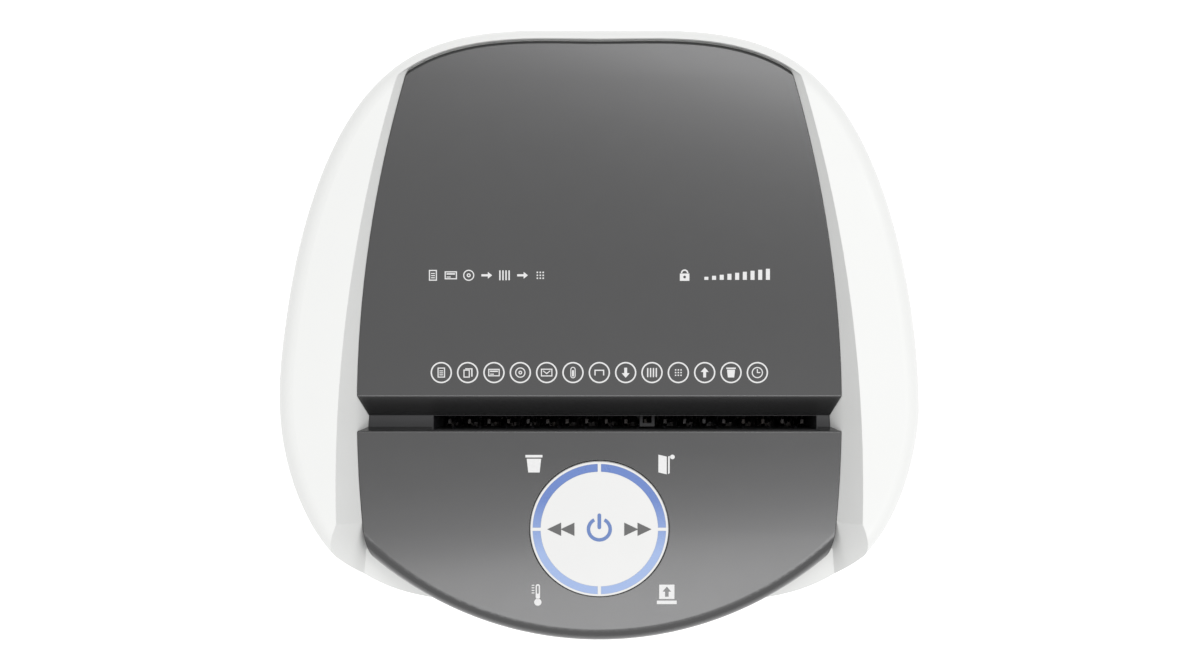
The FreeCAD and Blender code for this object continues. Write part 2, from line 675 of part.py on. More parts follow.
def drum_bushes():
    """Four plain bushes that carry the drums' journals in the side plates."""
    rings = []
    for x in (PLATE_LEFT_X - PLATE_THICKNESS / 2, PLATE_RIGHT_X + PLATE_THICKNESS / 2):
        for at in drum_spots():
            half = BUSH_LENGTH / 2
            rings.append(ring_x(bush_outer(), JOURNAL_RADIUS + RUN_CLEARANCE, x - half, x + half, at))
    return Part.makeCompound(rings)


def tie_rods():
    """Four spacer rods between the plates, with reduced ends through the plates."""
    rods = []
    for at in rod_spots():
        body = rod_x(ROD_RADIUS, PLATE_LEFT_X, PLATE_RIGHT_X, at)
        stub = rod_x(ROD_RADIUS - 1.0, PLATE_LEFT_X - PLATE_THICKNESS, PLATE_RIGHT_X + PLATE_THICKNESS, at)
        rods.append(body.fuse(stub).removeSplitter())
    return Part.makeCompound(rods)


def frame_screws():
    """Pan-head screws against the plates, one at each end of every tie rod."""
    heads = []
    for at in rod_spots():
        for x, sign in ((PLATE_LEFT_X - PLATE_THICKNESS, -1), (PLATE_RIGHT_X + PLATE_THICKNESS, 1)):
            head = rod_x(ROD_RADIUS + 0.5, min(x, x + sign * 2.2), max(x, x + sign * 2.2), at)
            rim_x = x + sign * 2.2
            rim = edges_where(head, lambda e: abs(e.CenterOfMass.x - rim_x) < 0.01 and e.Length > 10)
            heads.append(head.makeFillet(1.0, rim))
    return Part.makeCompound(heads)


def cutter_disc(x, at, turn):
    """One toothed disc: eight hooks, each a gentle rise and a radial step."""
    corners = []
    for i in range(CUTTER_TEETH):
        start = turn + 360.0 * i / CUTTER_TEETH
        span = 360.0 / CUTTER_TEETH
        for share, radius in ((0.0, DISC_REACH), (0.3, DISC_REACH - 0.3), (0.92, DISC_REACH - TOOTH_DEPTH)):
            y, z = polar(at, radius, start + span * share)
            corners.append((y, z))
    return polygon_block(corners, x, x + CUTTER_THICKNESS)


def cutter_drum(at, offset, hand, gear_end):
    """Cutter cylinder machined from one bar: core, toothed discs, journals and a seat for its gears."""
    first = SLOT_LEFT + 3.0 + offset * CUTTER_PITCH
    step = 360.0 / CUTTER_TEETH / DISCS_PER_TWIST
    discs = [cutter_disc(first + i * CUTTER_PITCH, at, hand * step * i) for i in range(CUTTER_COUNT)]
    core = rod_x(CORE_RADIUS, PLATE_LEFT_X + 4.0, PLATE_RIGHT_X - 4.0, at)
    right_end = PLATE_RIGHT_X + PLATE_THICKNESS / 2 + BUSH_LENGTH / 2 + 2
    journal = rod_x(JOURNAL_RADIUS, SYNC_X, right_end, at)
    seat = rod_x(GEAR_SEAT_RADIUS, gear_end, SYNC_X, at)
    return core.multiFuse(discs).fuse(journal).fuse(seat)


def cutter_drum_front():
    return cutter_drum(FRONT_DRUM, 0.5, -1, SYNC_X - SYNC_WIDTH - 0.5)


def cutter_drum_rear():
    return cutter_drum(REAR_DRUM, 0.0, 1, DRIVE_X - DRIVE_WIDTH)


def stripper_comb(side):
    """Plastic comb whose fingers stand between the discs and clear them of particles."""
    at = (SLOT_Y + side * DRUM_SPACING / 2, DRUM_Z)
    bar_y = at[0] + side * (DISC_REACH + 1.0)
    tip_y = at[0] + side * (CORE_RADIUS - 2.5)
    bar_back = bar_y + side * 5
    low, high = DRUM_Z - 7, DRUM_Z + 7
    block = box(
        PLATE_LEFT_X + 0.5, PLATE_RIGHT_X - 0.5, min(tip_y, bar_back), max(tip_y, bar_back), low, high
    )
    block = block.cut(rod_x(CORE_RADIUS + 0.8, PLATE_LEFT_X, PLATE_RIGHT_X, at))
    offset = 0.5 if side < 0 else 0.0
    first = SLOT_LEFT + 3.0 + offset * CUTTER_PITCH
    y0, y1 = min(tip_y - 2, bar_y), max(tip_y + 2, bar_y)
    side_gap = 0.4
    starts = [first + i * CUTTER_PITCH - side_gap for i in range(CUTTER_COUNT)]
    width = CUTTER_THICKNESS + 2 * side_gap
    slots = [box(x, x + width, y0, y1, low - 1, high + 1) for x in starts]
    slots.append(box(PLATE_LEFT_X - 1, starts[0], y0, y1, low - 1, high + 1))
    slots.append(box(starts[-1] + width, PLATE_RIGHT_X + 5, y0, y1, low - 1, high + 1))
    return block.cut(Part.makeCompound(slots))


# ---------------------------------------------------------------- gear train and motor
def involute(angle):
    return math.tan(angle) - angle


def gear(module, teeth, x0, width, at, phase, bore):
    """Spur gear with involute flanks, a tooth centred at the phase angle."""
    pitch = module * teeth / 2
    base = pitch * math.cos(math.radians(PRESSURE_ANGLE))
    tip, root = pitch + ADDENDUM * module, pitch - DEDENDUM * module
    half = math.pi / (2 * teeth) - BACKLASH / 2 / pitch + involute(math.radians(PRESSURE_ANGLE))

    def half_angle(radius):
        return half - involute(math.acos(min(1.0, base / max(radius, base))))

    start = max(base, root + 0.05)
    radii = [root] + [start + (tip - start) * k / 3 for k in range(4)]
    corners = []
    for i in range(teeth):
        middle = math.radians(phase) + 2 * math.pi * i / teeth
        flank = [(r, half_angle(r)) for r in radii]
        for r, a in flank:
            corners.append((at[0] + r * math.cos(middle - a), at[1] + r * math.sin(middle - a)))
        for r, a in reversed(flank):
            corners.append((at[0] + r * math.cos(middle + a), at[1] + r * math.sin(middle + a)))
    blank = polygon_block(corners, x0, x0 + width)
    return blank.cut(rod_x(bore, x0 - 1, x0 + width + 1, at))


def mate_phase(phase, teeth, mate_teeth, direction):
    """Phase of a gear in mesh with another, whose centre lies at the direction angle from the first."""
    return direction + 180.0 + 180.0 / mate_teeth - (phase - direction) * teeth / mate_teeth


def sync_gear_rear():
    return gear(SYNC_MODULE, SYNC_TEETH, SYNC_X - SYNC_WIDTH, SYNC_WIDTH, REAR_DRUM, 0.0, GEAR_SEAT_RADIUS)


def sync_gear_front():
    phase = mate_phase(0.0, SYNC_TEETH, SYNC_TEETH, 180.0)
    return gear(SYNC_MODULE, SYNC_TEETH, SYNC_X - SYNC_WIDTH, SYNC_WIDTH, FRONT_DRUM, phase, GEAR_SEAT_RADIUS)


def drum_drive_gear():
    """Large gear that turns the rear drum; its web is thinned to save weight."""
    x0 = DRIVE_X - DRIVE_WIDTH
    wheel = gear(DRIVE_MODULE, DRIVE_TEETH, x0, DRIVE_WIDTH, REAR_DRUM, 0.0, GEAR_SEAT_RADIUS)
    web = 3.5
    outer = DRIVE_MODULE * DRIVE_TEETH / 2 - 5
    for x in (DRIVE_X - DRIVE_WIDTH - 1, DRIVE_X - web):
        wheel = wheel.cut(ring_x(outer, 11, x, x + web + 1, REAR_DRUM))
    return wheel


def pinion_phase():
    return mate_phase(0.0, DRIVE_TEETH, PINION_TEETH, REDUCTION_ANGLE)


def reduction_gear():
    """Compound gear: a small pinion that drives the drum gear, and a large wheel turned by the motor."""
    bore = REDUCTION_PIN + RUN_CLEARANCE
    width = DRIVE_WIDTH + GEAR_GAP
    small = gear(DRIVE_MODULE, PINION_TEETH, DRIVE_X - width, width, REDUCTION, pinion_phase(), bore)
    large = gear(MOTOR_MODULE, WHEEL_TEETH, WHEEL_X - WHEEL_WIDTH, WHEEL_WIDTH, REDUCTION, 0.0, bore)
    return small.fuse(large).removeSplitter()


def reduction_axle():
    """Fixed pin between the two gear plates, on which the compound gear turns."""
    return rod_x(REDUCTION_PIN, OUTER_PLATE_X - 2.5, PLATE_LEFT_X, REDUCTION)


def motor_pinion():
    phase = mate_phase(0.0, WHEEL_TEETH, MOTOR_TEETH, MOTOR_ANGLE)
    x0, bore = WHEEL_X - WHEEL_WIDTH, MOTOR_SHAFT_RADIUS - 1.2
    return gear(MOTOR_MODULE, MOTOR_TEETH, x0, WHEEL_WIDTH, MOTOR, phase, bore)


def outer_gear_plate():
    """Outer bearing plate of the gear train."""
    front_y, rear_y = REDUCTION[0] - 18, MOTOR[0] + 16
    x = OUTER_PLATE_X - 2.5
    reach = POST_REACH + 7
    plate = box(x, OUTER_PLATE_X, front_y, rear_y, REDUCTION[1] - reach, REDUCTION[1] + reach)
    plate = plate.cut(rod_x(REDUCTION_PIN, x - 1, OUTER_PLATE_X + 1, REDUCTION))
    plate = plate.cut(rod_x(MOTOR_SHAFT_RADIUS - 1.2 + RUN_CLEARANCE, x - 1, OUTER_PLATE_X + 1, MOTOR))
    for at in post_spots():
        plate = plate.cut(rod_x(2.0, x - 1, OUTER_PLATE_X + 1, at))
    return plate


POST_REACH = MOTOR_MODULE * (WHEEL_TEETH / 2 + ADDENDUM) + 5.5
POST_ANGLES = (-110.0, -34.0, 34.0, 85.0)


def post_spots():
    """(y, z) places of the posts, around the large wheel and clear of it."""
    return [polar(REDUCTION, POST_REACH, a) for a in POST_ANGLES]


def gear_plate_posts():
    """Posts that hold the outer plate off the gear-side plate."""
    posts = []
    inner = PLATE_LEFT_X - PLATE_THICKNESS
    for at in post_spots():
        post = rod_x(3.5, OUTER_PLATE_X, inner, at).fuse(rod_x(2.0, OUTER_PLATE_X - 2.5, OUTER_PLATE_X, at))
        posts.append(post.removeSplitter())
    return Part.makeCompound(posts)


def motor_ends():
    return PLATE_LEFT_X, PLATE_LEFT_X + MOTOR_LENGTH


def motor_can():
    """Steel motor casing with a flat front face and a boss that centres it in the gear-side plate."""
    x0, x1 = motor_ends()
    can = rod_x(MOTOR_RADIUS, x0, x1, MOTOR).cut(rod_x(MOTOR_RADIUS - 2, x0 + 3, x1 + 1, MOTOR))
    boss = rod_x(MOTOR_BOSS - 0.3, PLATE_LEFT_X - PLATE_THICKNESS, x0, MOTOR)
    return can.fuse(boss).cut(rod_x(MOTOR_SHAFT_RADIUS + RUN_CLEARANCE, x0 - 10, x0 + 10, MOTOR))


def motor_end_cap():
    """Rear bell of the motor, with slots for cooling air."""
    _, x1 = motor_ends()
    cap = rod_x(MOTOR_RADIUS, x1, x1 + 14, MOTOR).cut(rod_x(MOTOR_RADIUS - 3, x1 - 1, x1 + 11, MOTOR))
    cap = cap.cut(rod_x(MOTOR_SHAFT_RADIUS + RUN_CLEARANCE, x1, x1 + 20, MOTOR))
    vents = []
    for i in range(8):
        slot = box(x1 + 10, x1 + 15, MOTOR[0] + 12, MOTOR[0] + 29, MOTOR[1] - 3, MOTOR[1] + 3)
        slot.rotate(V(0, MOTOR[0], MOTOR[1]), X_AXIS, 45.0 * i)
        vents.append(slot)
    return cap.cut(Part.makeCompound(vents))


def motor_rotor():
    """Armature on its shaft, which runs out through the gear train to the outer plate."""
    x0, x1 = motor_ends()
    shaft = rod_x(MOTOR_SHAFT_RADIUS, WHEEL_X + 1, x1 + 13, MOTOR)
    tip = rod_x(MOTOR_SHAFT_RADIUS - 1.2, OUTER_PLATE_X - 2.5, WHEEL_X + 1, MOTOR)
    core = rod_x(ARMATURE_RADIUS, x0 + 24, x1 - 28, MOTOR)
    slots = []
    for i in range(12):
        y0, y1 = MOTOR[0] + ARMATURE_RADIUS - 4, MOTOR[0] + MOTOR_RADIUS
        slot = box(x0, x1, y0, y1, MOTOR[1] - 1, MOTOR[1] + 1)
        slot.rotate(V(0, MOTOR[0], MOTOR[1]), X_AXIS, 30.0 * i)
        slots.append(slot)
    return shaft.fuse(tip).fuse(core.cut(Part.makeCompound(slots)))


def motor_fan():
    """Cooling fan on the rear of the motor shaft, inside the end bell."""
    _, x1 = motor_ends()
    hub = rod_x(9, x1 - 6, x1 + 6, MOTOR)
    blades = []
    for i in range(9):
        blade = box(x1 - 5, x1 + 6, MOTOR[0] + 8, MOTOR[0] + MOTOR_RADIUS - 6, MOTOR[1] - 0.8, MOTOR[1] + 0.8)
        blade.rotate(V(0, MOTOR[0], MOTOR[1]), X_AXIS, 40.0 * i)
        blades.append(blade)
    return hub.multiFuse(blades).cut(rod_x(MOTOR_SHAFT_RADIUS, x1 - 10, x1 + 10, MOTOR))


# ---------------------------------------------------------------- electrics
SENSOR_X = 29.0
SENSOR_Z = GROOVE_Z - 13.0
SENSOR_PIVOT = (SLOT_REAR_Y + 12.0, SENSOR_Z)


def paper_sensor_lever():
    """Forked flag that reaches through the throat wall; paper pushes it down."""
    y, z = SENSOR_PIVOT
    tip_y = SLOT_FRONT_Y + 1.6
    arm = box(SENSOR_X - 4.5, SENSOR_X + 4.5, tip_y, y - 1, z - 1, z + 1)
    arm = arm.cut(box(SENSOR_X - 2.7, SENSOR_X + 2.7, tip_y + 2.2, y - 6, z - 5, z + 5))
    hub = rod_x(2.6, SENSOR_X - 4.5, SENSOR_X + 4.5, SENSOR_PIVOT)
    flag = box(SENSOR_X - 0.8, SENSOR_X + 0.8, y, y + 9, z - 1, z + 3)
    pin = rod_x(1.2, SENSOR_X - 7.5, SENSOR_X + 7.5, SENSOR_PIVOT)
    return arm.fuse(hub).fuse(flag).fuse(pin).removeSplitter()


def paper_sensor_bracket():
    """Bracket behind the throat, with two ears for the lever's pin and a light gate."""
    y, z = SENSOR_PIVOT
    x0, x1 = SENSOR_X - 9, SENSOR_X + 9
    floor_z = z - 14
    front_y = SLOT_Y + slot_half_depth(floor_z + 2) + FUNNEL_SIDE_WALL
    body = box(x0, x1, front_y, y + 18, floor_z, floor_z + 2)
    ears = box(x0, x0 + 3, y - 4, y + 4, floor_z, z + 4).fuse(box(x1 - 3, x1, y - 4, y + 4, floor_z, z + 4))
    gate = box(SENSOR_X - 4, SENSOR_X + 4, y + 11, y + 17, floor_z, z + 6)
    bracket = body.fuse(ears).fuse(gate)
    return bracket.cut(rod_x(1.2 + RUN_CLEARANCE, x0 - 1, x1 + 1, SENSOR_PIVOT)).removeSplitter()


def control_board():
    """Touch electronics behind the disc, parallel to it."""
    board = box(-32, 32, -30, 30, -12.6, -11.0)
    chip = box(-6, 6, -6, 6, -13.8, -12.6)
    return in_disc_frame(board.fuse(chip))


def board_standoffs():
    """Screws through short pillars that hang the touch board from the fascia's boss."""
    pins = [rod_z(2.5, -11.0, -7.5, sx * 25, sy * 25) for sx in (1, -1) for sy in (1, -1)]
    return Part.makeCompound([in_disc_frame(p) for p in pins])


POWER_BOARD_Z = HEAD_Z + 9.0


def power_board():
    """Mains board on the head's floor, with capacitor, relay, transformer and fuse."""
    x0, x1, y0, y1 = 52.0, 138.0, 6.0, 82.0
    z = POWER_BOARD_Z
    board = box(x0, x1, y0, y1, z, z + 1.6)
    top = z + 1.6
    capacitor = rod_z(9, top, top + 30, x0 + 16, y0 + 16)
    relay = box(x0 + 32, x0 + 52, y0 + 8, y0 + 24, top, top + 18)
    parts = [board, capacitor, relay]
    parts.append(box(x0 + 12, x0 + 46, y0 + 36, y0 + 66, top, top + 28))
    parts.append(rod_x(2.6, x0 + 56, x0 + 78, (y0 + 20, top + 2.0)))
    legs = [rod_z(2.5, HEAD_Z + FLOOR_THICKNESS, z, x, y) for x in (x0 + 5, x1 - 5) for y in (y0 + 5, y1 - 5)]
    return parts[0].multiFuse(parts[1:] + legs)


def rear_wall_y(x):
    """Rear face of the casing at a distance from the centre plane."""
    share = 1 - min(1.0, abs(x) / (HEAD_WIDTH / 2)) ** REAR_POWERS[1]
    return BODY_WIDEST_Y + (BODY_REAR_Y - BODY_WIDEST_Y) * share ** (1 / REAR_POWERS[0])


SOCKET_Z = TOP_Z - SOCKET_DROP
INLET_HALF = (15.0, 12.5)
INLET_FACE_Y = BODY_REAR_Y + 1.5


def power_inlet():
    """Appliance inlet: flange, recess with three pins, and body behind the rear wall."""
    hx, hz = INLET_HALF
    face = INLET_FACE_Y
    flange = box(INLET_X - hx, INLET_X + hx, face - 3.2, face, SOCKET_Z - hz, SOCKET_Z + hz)
    corners = edges_where(flange, lambda e: e.BoundBox.YLength > 3 and e.BoundBox.XLength < 0.01)
    flange = flange.makeFillet(2.5, corners)
    body = box(INLET_X - 13.5, INLET_X + 13.5, face - 22, face - 3.2, SOCKET_Z - 10, SOCKET_Z + 10)
    recess = box(INLET_X - 12, INLET_X + 12, face - 17, face + 1, SOCKET_Z - 8, SOCKET_Z + 8)
    inlet = flange.fuse(body).cut(recess)
    for x, z in ((-7, -1.2), (7, -1.2), (0, 1.2)):
        pin_x, pin_z = INLET_X + x, SOCKET_Z + z
        inlet = inlet.fuse(box(pin_x - 1, pin_x + 1, face - 18, face - 3, pin_z - 2, pin_z + 2))
    return inlet


def rocker_angle():
    """Turn of the switch about Z, so that it faces square out of the curved rear wall."""
    step = 2.0
    return math.degrees(math.atan2(rear_wall_y(ROCKER_X + step) - rear_wall_y(ROCKER_X - step), 2 * step))


def at_rocker(shape):
    """Moves a shape from the switch's own frame, whose +Y faces outwards, to the rear wall."""
    placed = shape.copy()
    turn = FreeCAD.Rotation(Z_AXIS, rocker_angle())
    place = FreeCAD.Placement(V(ROCKER_X, rear_wall_y(ROCKER_X), SOCKET_Z), turn)
    placed.Placement = place.multiply(placed.Placement)
    return placed


ROCKER_HALF = (5.2, 7.5)
ROCKER_TILT = 11.0
ROCKER_PIVOT_Y = -3.0


def rocker_bezel():
    """Frame of the mains switch, with a pin across it for the rocker."""
    hx, hz = ROCKER_HALF
    flange = box(-hx - 2.8, hx + 2.8, -1.0, 0.6, -hz - 2.8, hz + 2.8)
    body = box(-hx - 1.6, hx + 1.6, -13, -1.0, -hz - 1.6, hz + 1.6)
    room = box(-hx - 0.3, hx + 0.3, -12, 2, -hz - 0.3, hz + 0.3)
    pin = Part.makeCylinder(1.0, 2 * hz + 2, V(0, ROCKER_PIVOT_Y, -hz - 1))
    return at_rocker(flange.fuse(body).cut(room).fuse(pin))


def rocker_switch():
    """Mains rocker, stored pressed in on one side."""
    hx, hz = ROCKER_HALF
    half = hx - 0.9
    section = [V(-half, ROCKER_PIVOT_Y - 1.9, -hz), V(half, ROCKER_PIVOT_Y - 1.9, -hz)]
    section += [V(half, 1.6, -hz), V(0, 0.4, -hz), V(-half, 1.6, -hz)]
    rocker = Part.Face(Part.makePolygon(section + section[:1])).extrude(V(0, 0, 2 * hz))
    rocker = rocker.cut(Part.makeCylinder(1.0 + RUN_CLEARANCE, 2 * hz + 4, V(0, ROCKER_PIVOT_Y, -hz - 2)))
    rocker.rotate(V(0, ROCKER_PIVOT_Y, 0), Z_AXIS, ROCKER_TILT)
    return at_rocker(rocker)


def socket_holes():
    """Openings of the rear wall for the inlet and the switch."""
    y0, y1 = BODY_REAR_Y - 25, BODY_REAR_Y + 5
    inlet = box(INLET_X - 13.8, INLET_X + 13.8, y0, y1, SOCKET_Z - 10.3, SOCKET_Z + 10.3)
    seat_y = INLET_FACE_Y - 3.2
    seat = box(INLET_X - 15.2, INLET_X + 15.2, seat_y, BODY_REAR_Y + 5, SOCKET_Z - 12.7, SOCKET_Z + 12.7)
    hx, hz = ROCKER_HALF
    rocker = at_rocker(box(-hx - 1.8, hx + 1.8, -20, 10, -hz - 1.8, hz + 1.8))
    land = at_rocker(box(-hx - 3.0, hx + 3.0, -1.0, 10, -hz - 3.0, hz + 3.0))
    return [inlet, seat, rocker, land]


def vent_slots():
    """Cooling slots through the rear wall, a row of upright slits left of the sockets."""
    slits = []
    for i in range(9):
        x = -95.0 + 9.0 * i
        slits.append(box(x, x + 3.5, BODY_REAR_Y - 60, BODY_REAR_Y + 5, SOCKET_Z - 22, SOCKET_Z + 12))
    return slits


def finished_head_shell():
    return head_shell().cut(Part.makeCompound(socket_holes() + vent_slots()))


# ---------------------------------------------------------------- cabinet and base
def bay_cut(z0, z1, half=BIN_FACE_HALF + PANEL_GAP):
    """Room for the bin's front between the cabinet's side walls."""
    return box(-half, half, TONGUE_FRONT_Y - 40, BIN_FRONT_Y, z0, z1)


BIN_FRONT_Y = BODY_FRONT_Y + 45.0


def cabinet_shell():
    """White cabinet: both sides and the back in one piece, open at the front for the bin."""
    outer = tapered_body(CABINET_Z, CABINET_TOP)
    inner = tapered_body(CABINET_Z, CABINET_TOP, WALL)
    shell = outer.cut(inner)
    shell = shell.cut(bay_cut(CABINET_Z - 5, CABINET_TOP + 5))
    return shell


def head_bridge():
    """Flat frame between cabinet and head: it closes the cabinet's top around the particle chute."""
    plate = body_prism(CABINET_TOP, CABINET_TOP + SEAM, SHADOW_DEPTH)
    hole = box(SLOT_LEFT - 6, SLOT_RIGHT + 6, SLOT_Y - 40, SLOT_Y + 40, CABINET_TOP - 5, HEAD_Z + 5)
    x0, x1 = BIN_SWITCH_X - 12, BIN_SWITCH_X + 12
    switch = box(x0, x1, BIN_REAR_Y - 3, BIN_REAR_Y + 28, CABINET_TOP - 5, HEAD_Z + 5)
    return plate.cut(hole).cut(switch)


def caster_spots():
    """Name and (x, y) place of each caster's swivel axis."""
    fx, fy = FRONT_CASTER
    rx, ry = REAR_CASTER
    return {
        "front_left": (-fx, fy),
        "front_right": (fx, fy),
        "rear_left": (-rx, ry),
        "rear_right": (rx, ry),
    }


def base_tray():
    """Dark base: a tray with caster bosses under it, inside the cabinet's foot line."""
    outer = tapered_body(BASE_Z, CABINET_Z, 1.0)
    inner = tapered_body(BASE_Z + 5, CABINET_Z + 1, WALL + 1.0)
    tray = outer.cut(inner)
    boss_top = BASE_Z + 17
    for x, y in caster_spots().values():
        tray = tray.fuse(rod_z(10, BASE_Z, boss_top, x, y))
    for x, y in caster_spots().values():
        tray = tray.cut(rod_z(STEM_RADIUS, BASE_Z - 1, boss_top - 2, x, y))
    return tray.fuse(runner_rails()).fuse(foot_lip())


RAIL_X = 96.0
RAIL_TOP = CABINET_Z + 4.0


def runner_rails():
    """Two raised rails of the base on which the bin's glides run."""
    rails = []
    for side in (1, -1):
        x = side * RAIL_X
        rails.append(box(x - 5, x + 5, BIN_FRONT_Y + 3, BIN_REAR_Y + 8, BASE_Z + 4, RAIL_TOP))
    return rails[0].fuse(rails[1])


def foot_lip():
    """Low lip of the base inside the cabinet's foot, which locates the shell."""
    lip_outer = tapered_body(CABINET_Z - 4, CABINET_Z + 5, WALL + 0.3)
    lip_inner = tapered_body(CABINET_Z - 5, CABINET_Z + 6, WALL + 2.8)
    lip = lip_outer.cut(lip_inner)
    return lip.cut(box(-SIDE, SIDE, TONGUE_FRONT_Y - 40, BIN_FRONT_Y + 2, BASE_Z, CABINET_Z + 20))


# ---------------------------------------------------------------- bin
BIN_Z = RAIL_TOP + SLIDE_GAP
BIN_TOP = CABINET_TOP - 8.0
BIN_HALF = outline_half(BIN_REAR_Y - BIN_CORNER) * BASE_SHRINK - WALL - BIN_CLEARANCE
FACE_Z0 = CABINET_Z + PANEL_GAP
FACE_Z1 = CABINET_TOP - PANEL_GAP
FACE_FRAME = 4.0
FLANGE_THICKNESS = 3.0
FLANGE_INNER = 30.0
BIN_SWITCH_X = 60.0


def rounded_plan(x_half, y0, y1, radius, z):
    """Plan of the bin: square at the front, large rounded corners at the rear."""
    s = radius * (1 - math.sqrt(0.5))
    a, b = V(-x_half, y0, z), V(x_half, y0, z)
    c, d = V(x_half, y1 - radius, z), V(x_half - radius, y1, z)
    e, f = V(-x_half + radius, y1, z), V(-x_half, y1 - radius, z)
    right = Part.Arc(c, V(x_half - s, y1 - s, z), d).toShape()
    left = Part.Arc(e, V(-x_half + s, y1 - s, z), f).toShape()
    return Part.Face(Part.Wire([line(a, b), line(b, c), right, line(d, e), left, line(f, a)]))


def bin_tub():
    """Open-topped bin with a rim, an actuator tab for the safety switch and glides beneath."""
    foot = rounded_plan(BIN_HALF, BIN_FRONT_Y, BIN_REAR_Y, BIN_CORNER, BIN_Z)
    outer = foot.extrude(V(0, 0, BIN_TOP - BIN_Z))
    wall = BIN_WALL
    cavity = rounded_plan(
        BIN_HALF - wall, BIN_FRONT_Y + wall, BIN_REAR_Y - wall, BIN_CORNER - wall, BIN_Z + wall + 1.0
    ).extrude(V(0, 0, BIN_TOP))
    edge = rounded_plan(BIN_HALF + 4, BIN_FRONT_Y, BIN_REAR_Y + 4, BIN_CORNER + 4, BIN_TOP - 3)
    rim = edge.extrude(V(0, 0, 3))
    tab = box(BIN_SWITCH_X - 5, BIN_SWITCH_X + 5, BIN_REAR_Y - wall, BIN_REAR_Y, BIN_TOP - 10, BIN_TOP + 6)
    tub = outer.fuse(rim).cut(cavity).fuse(tab)
    for x, z in bin_screw_spots():
        tub = tub.cut(rod_y(BIN_SCREW_RADIUS + 0.3, BIN_FRONT_Y - 1, BIN_FRONT_Y + wall + 1, x, z))
    return tub


BIN_SCREW_RADIUS = 2.0


def bin_screw_spots():
    """(x, z) places of the screws that hold the front to the tub."""
    return [(sx * (BIN_HALF - 12), z) for sx in (1, -1) for z in (BIN_Z + 30, BIN_TOP - 30)]


def face_blank(inset0, inset1, z0, z1, half):
    """Piece of the front wall between two insets from the casing's outer face, cut to the bin's width."""
    ring = tapered_body(z0, z1, inset0).cut(tapered_body(z0 - 1, z1 + 1, inset1))
    return ring.common(box(-half, half, TONGUE_FRONT_Y - 30, BIN_FRONT_Y, z0 - 1, z1 + 1))


def face_window_box(grow):
    """Space of the front's window, from its lower edge up."""
    z0 = CABINET_Z + 62
    half = WINDOW_WIDTH / 2 + grow
    return box(-half, half, TONGUE_FRONT_Y, BIN_FRONT_Y, z0 - grow, z0 + WINDOW_HEIGHT + grow)


def grip_box(grow):
    """Space of the finger recess in the front."""
    z1 = FACE_Z1 - GRIP_DROP
    half = GRIP_WIDTH / 2 + grow
    return box(-half, half, TONGUE_FRONT_Y, BIN_FRONT_Y - 8, z1 - GRIP_HEIGHT - grow, z1 + grow)


def bin_front():
    """White curved front of the bin, flush with the cabinet, with a return frame behind it."""
    solid = tapered_body(FACE_Z0, FACE_Z1)
    half = BIN_FACE_HALF
    solid = solid.common(box(-half, half, TONGUE_FRONT_Y - 30, BIN_FRONT_Y, FACE_Z0, FACE_Z1))
    half, z0, z1 = BIN_FACE_HALF - FACE_FRAME, FACE_Z0 + FACE_FRAME, FACE_Z1 - FACE_FRAME
    hollow = tapered_body(FACE_Z0 - 1, FACE_Z1 + 1, WALL)
    hollow = hollow.common(box(-half, half, TONGUE_FRONT_Y, BIN_FRONT_Y - FLANGE_THICKNESS, z0, z1))
    inner = FLANGE_INNER
    rear_hole = box(-half + inner, half - inner, BIN_FRONT_Y - 10, BIN_FRONT_Y + 1, z0 + inner, z1 - inner)
    front = solid.cut(hollow).cut(rear_hole).cut(face_window_box(TRIM_GAP)).cut(grip_box(TRIM_GAP))
    for x, z in bin_screw_spots():
        front = front.cut(rod_y(BIN_SCREW_RADIUS, BIN_FRONT_Y - 10, BIN_FRONT_Y + 1, x, z))
    return front


def window_bezel():
    """Dark frame around the bin's window, standing a little proud of the front."""
    outer = face_blank(-0.8, WALL + 1.5, CABINET_Z + 52, CABINET_Z + 72 + WINDOW_HEIGHT, BIN_FACE_HALF)
    outer = outer.common(face_window_box(0.0))
    return outer.cut(face_window_box(-4.0))


def bin_window():
    """Smoked pane that shows how full the bin is."""
    pane = face_blank(1.0, WALL, CABINET_Z + 52, CABINET_Z + 72 + WINDOW_HEIGHT, BIN_FACE_HALF)
    return pane.common(face_window_box(-4.05))


def bin_grip():
    """Dark finger recess near the top of the bin's front."""
    cup = tapered_body(FACE_Z0, FACE_Z1, 0.6).common(grip_box(0.0))
    floor_y = BODY_FRONT_Y + GRIP_DEPTH + 4
    cup = cup.common(box(-SIDE, SIDE, TONGUE_FRONT_Y - 30, floor_y, FACE_Z0, FACE_Z1))
    reach = box(-SIDE, SIDE, TONGUE_FRONT_Y - 30, floor_y - GRIP_WALL, FACE_Z0, FACE_Z1)
    room = grip_box(-GRIP_WALL).common(reach)
    return cup.cut(room)


def bin_screws():
    """Screws from inside the tub into the front's frame."""
    screws = []
    inside_y = BIN_FRONT_Y + BIN_WALL
    for x, z in bin_screw_spots():
        shank = rod_y(BIN_SCREW_RADIUS, BIN_FRONT_Y - FLANGE_THICKNESS, inside_y, x, z)
        screws.append(shank.fuse(rod_y(4, inside_y, inside_y + 2.4, x, z)))
    return Part.makeCompound(screws)


BIN_SWITCH_Y = BIN_REAR_Y + 3.0


def bin_switch():
    """Safety micro-switch under the head's floor, worked by the bin's tab."""
    z1 = HEAD_Z
    body = box(BIN_SWITCH_X - 9, BIN_SWITCH_X + 9, BIN_SWITCH_Y, BIN_SWITCH_Y + 20, z1 - 9.0, z1)
    guide = rod_y(1.5 + RUN_CLEARANCE, BIN_SWITCH_Y - 1, BIN_SWITCH_Y + 10, BIN_SWITCH_X, z1 - 5.5)
    return body.cut(guide)


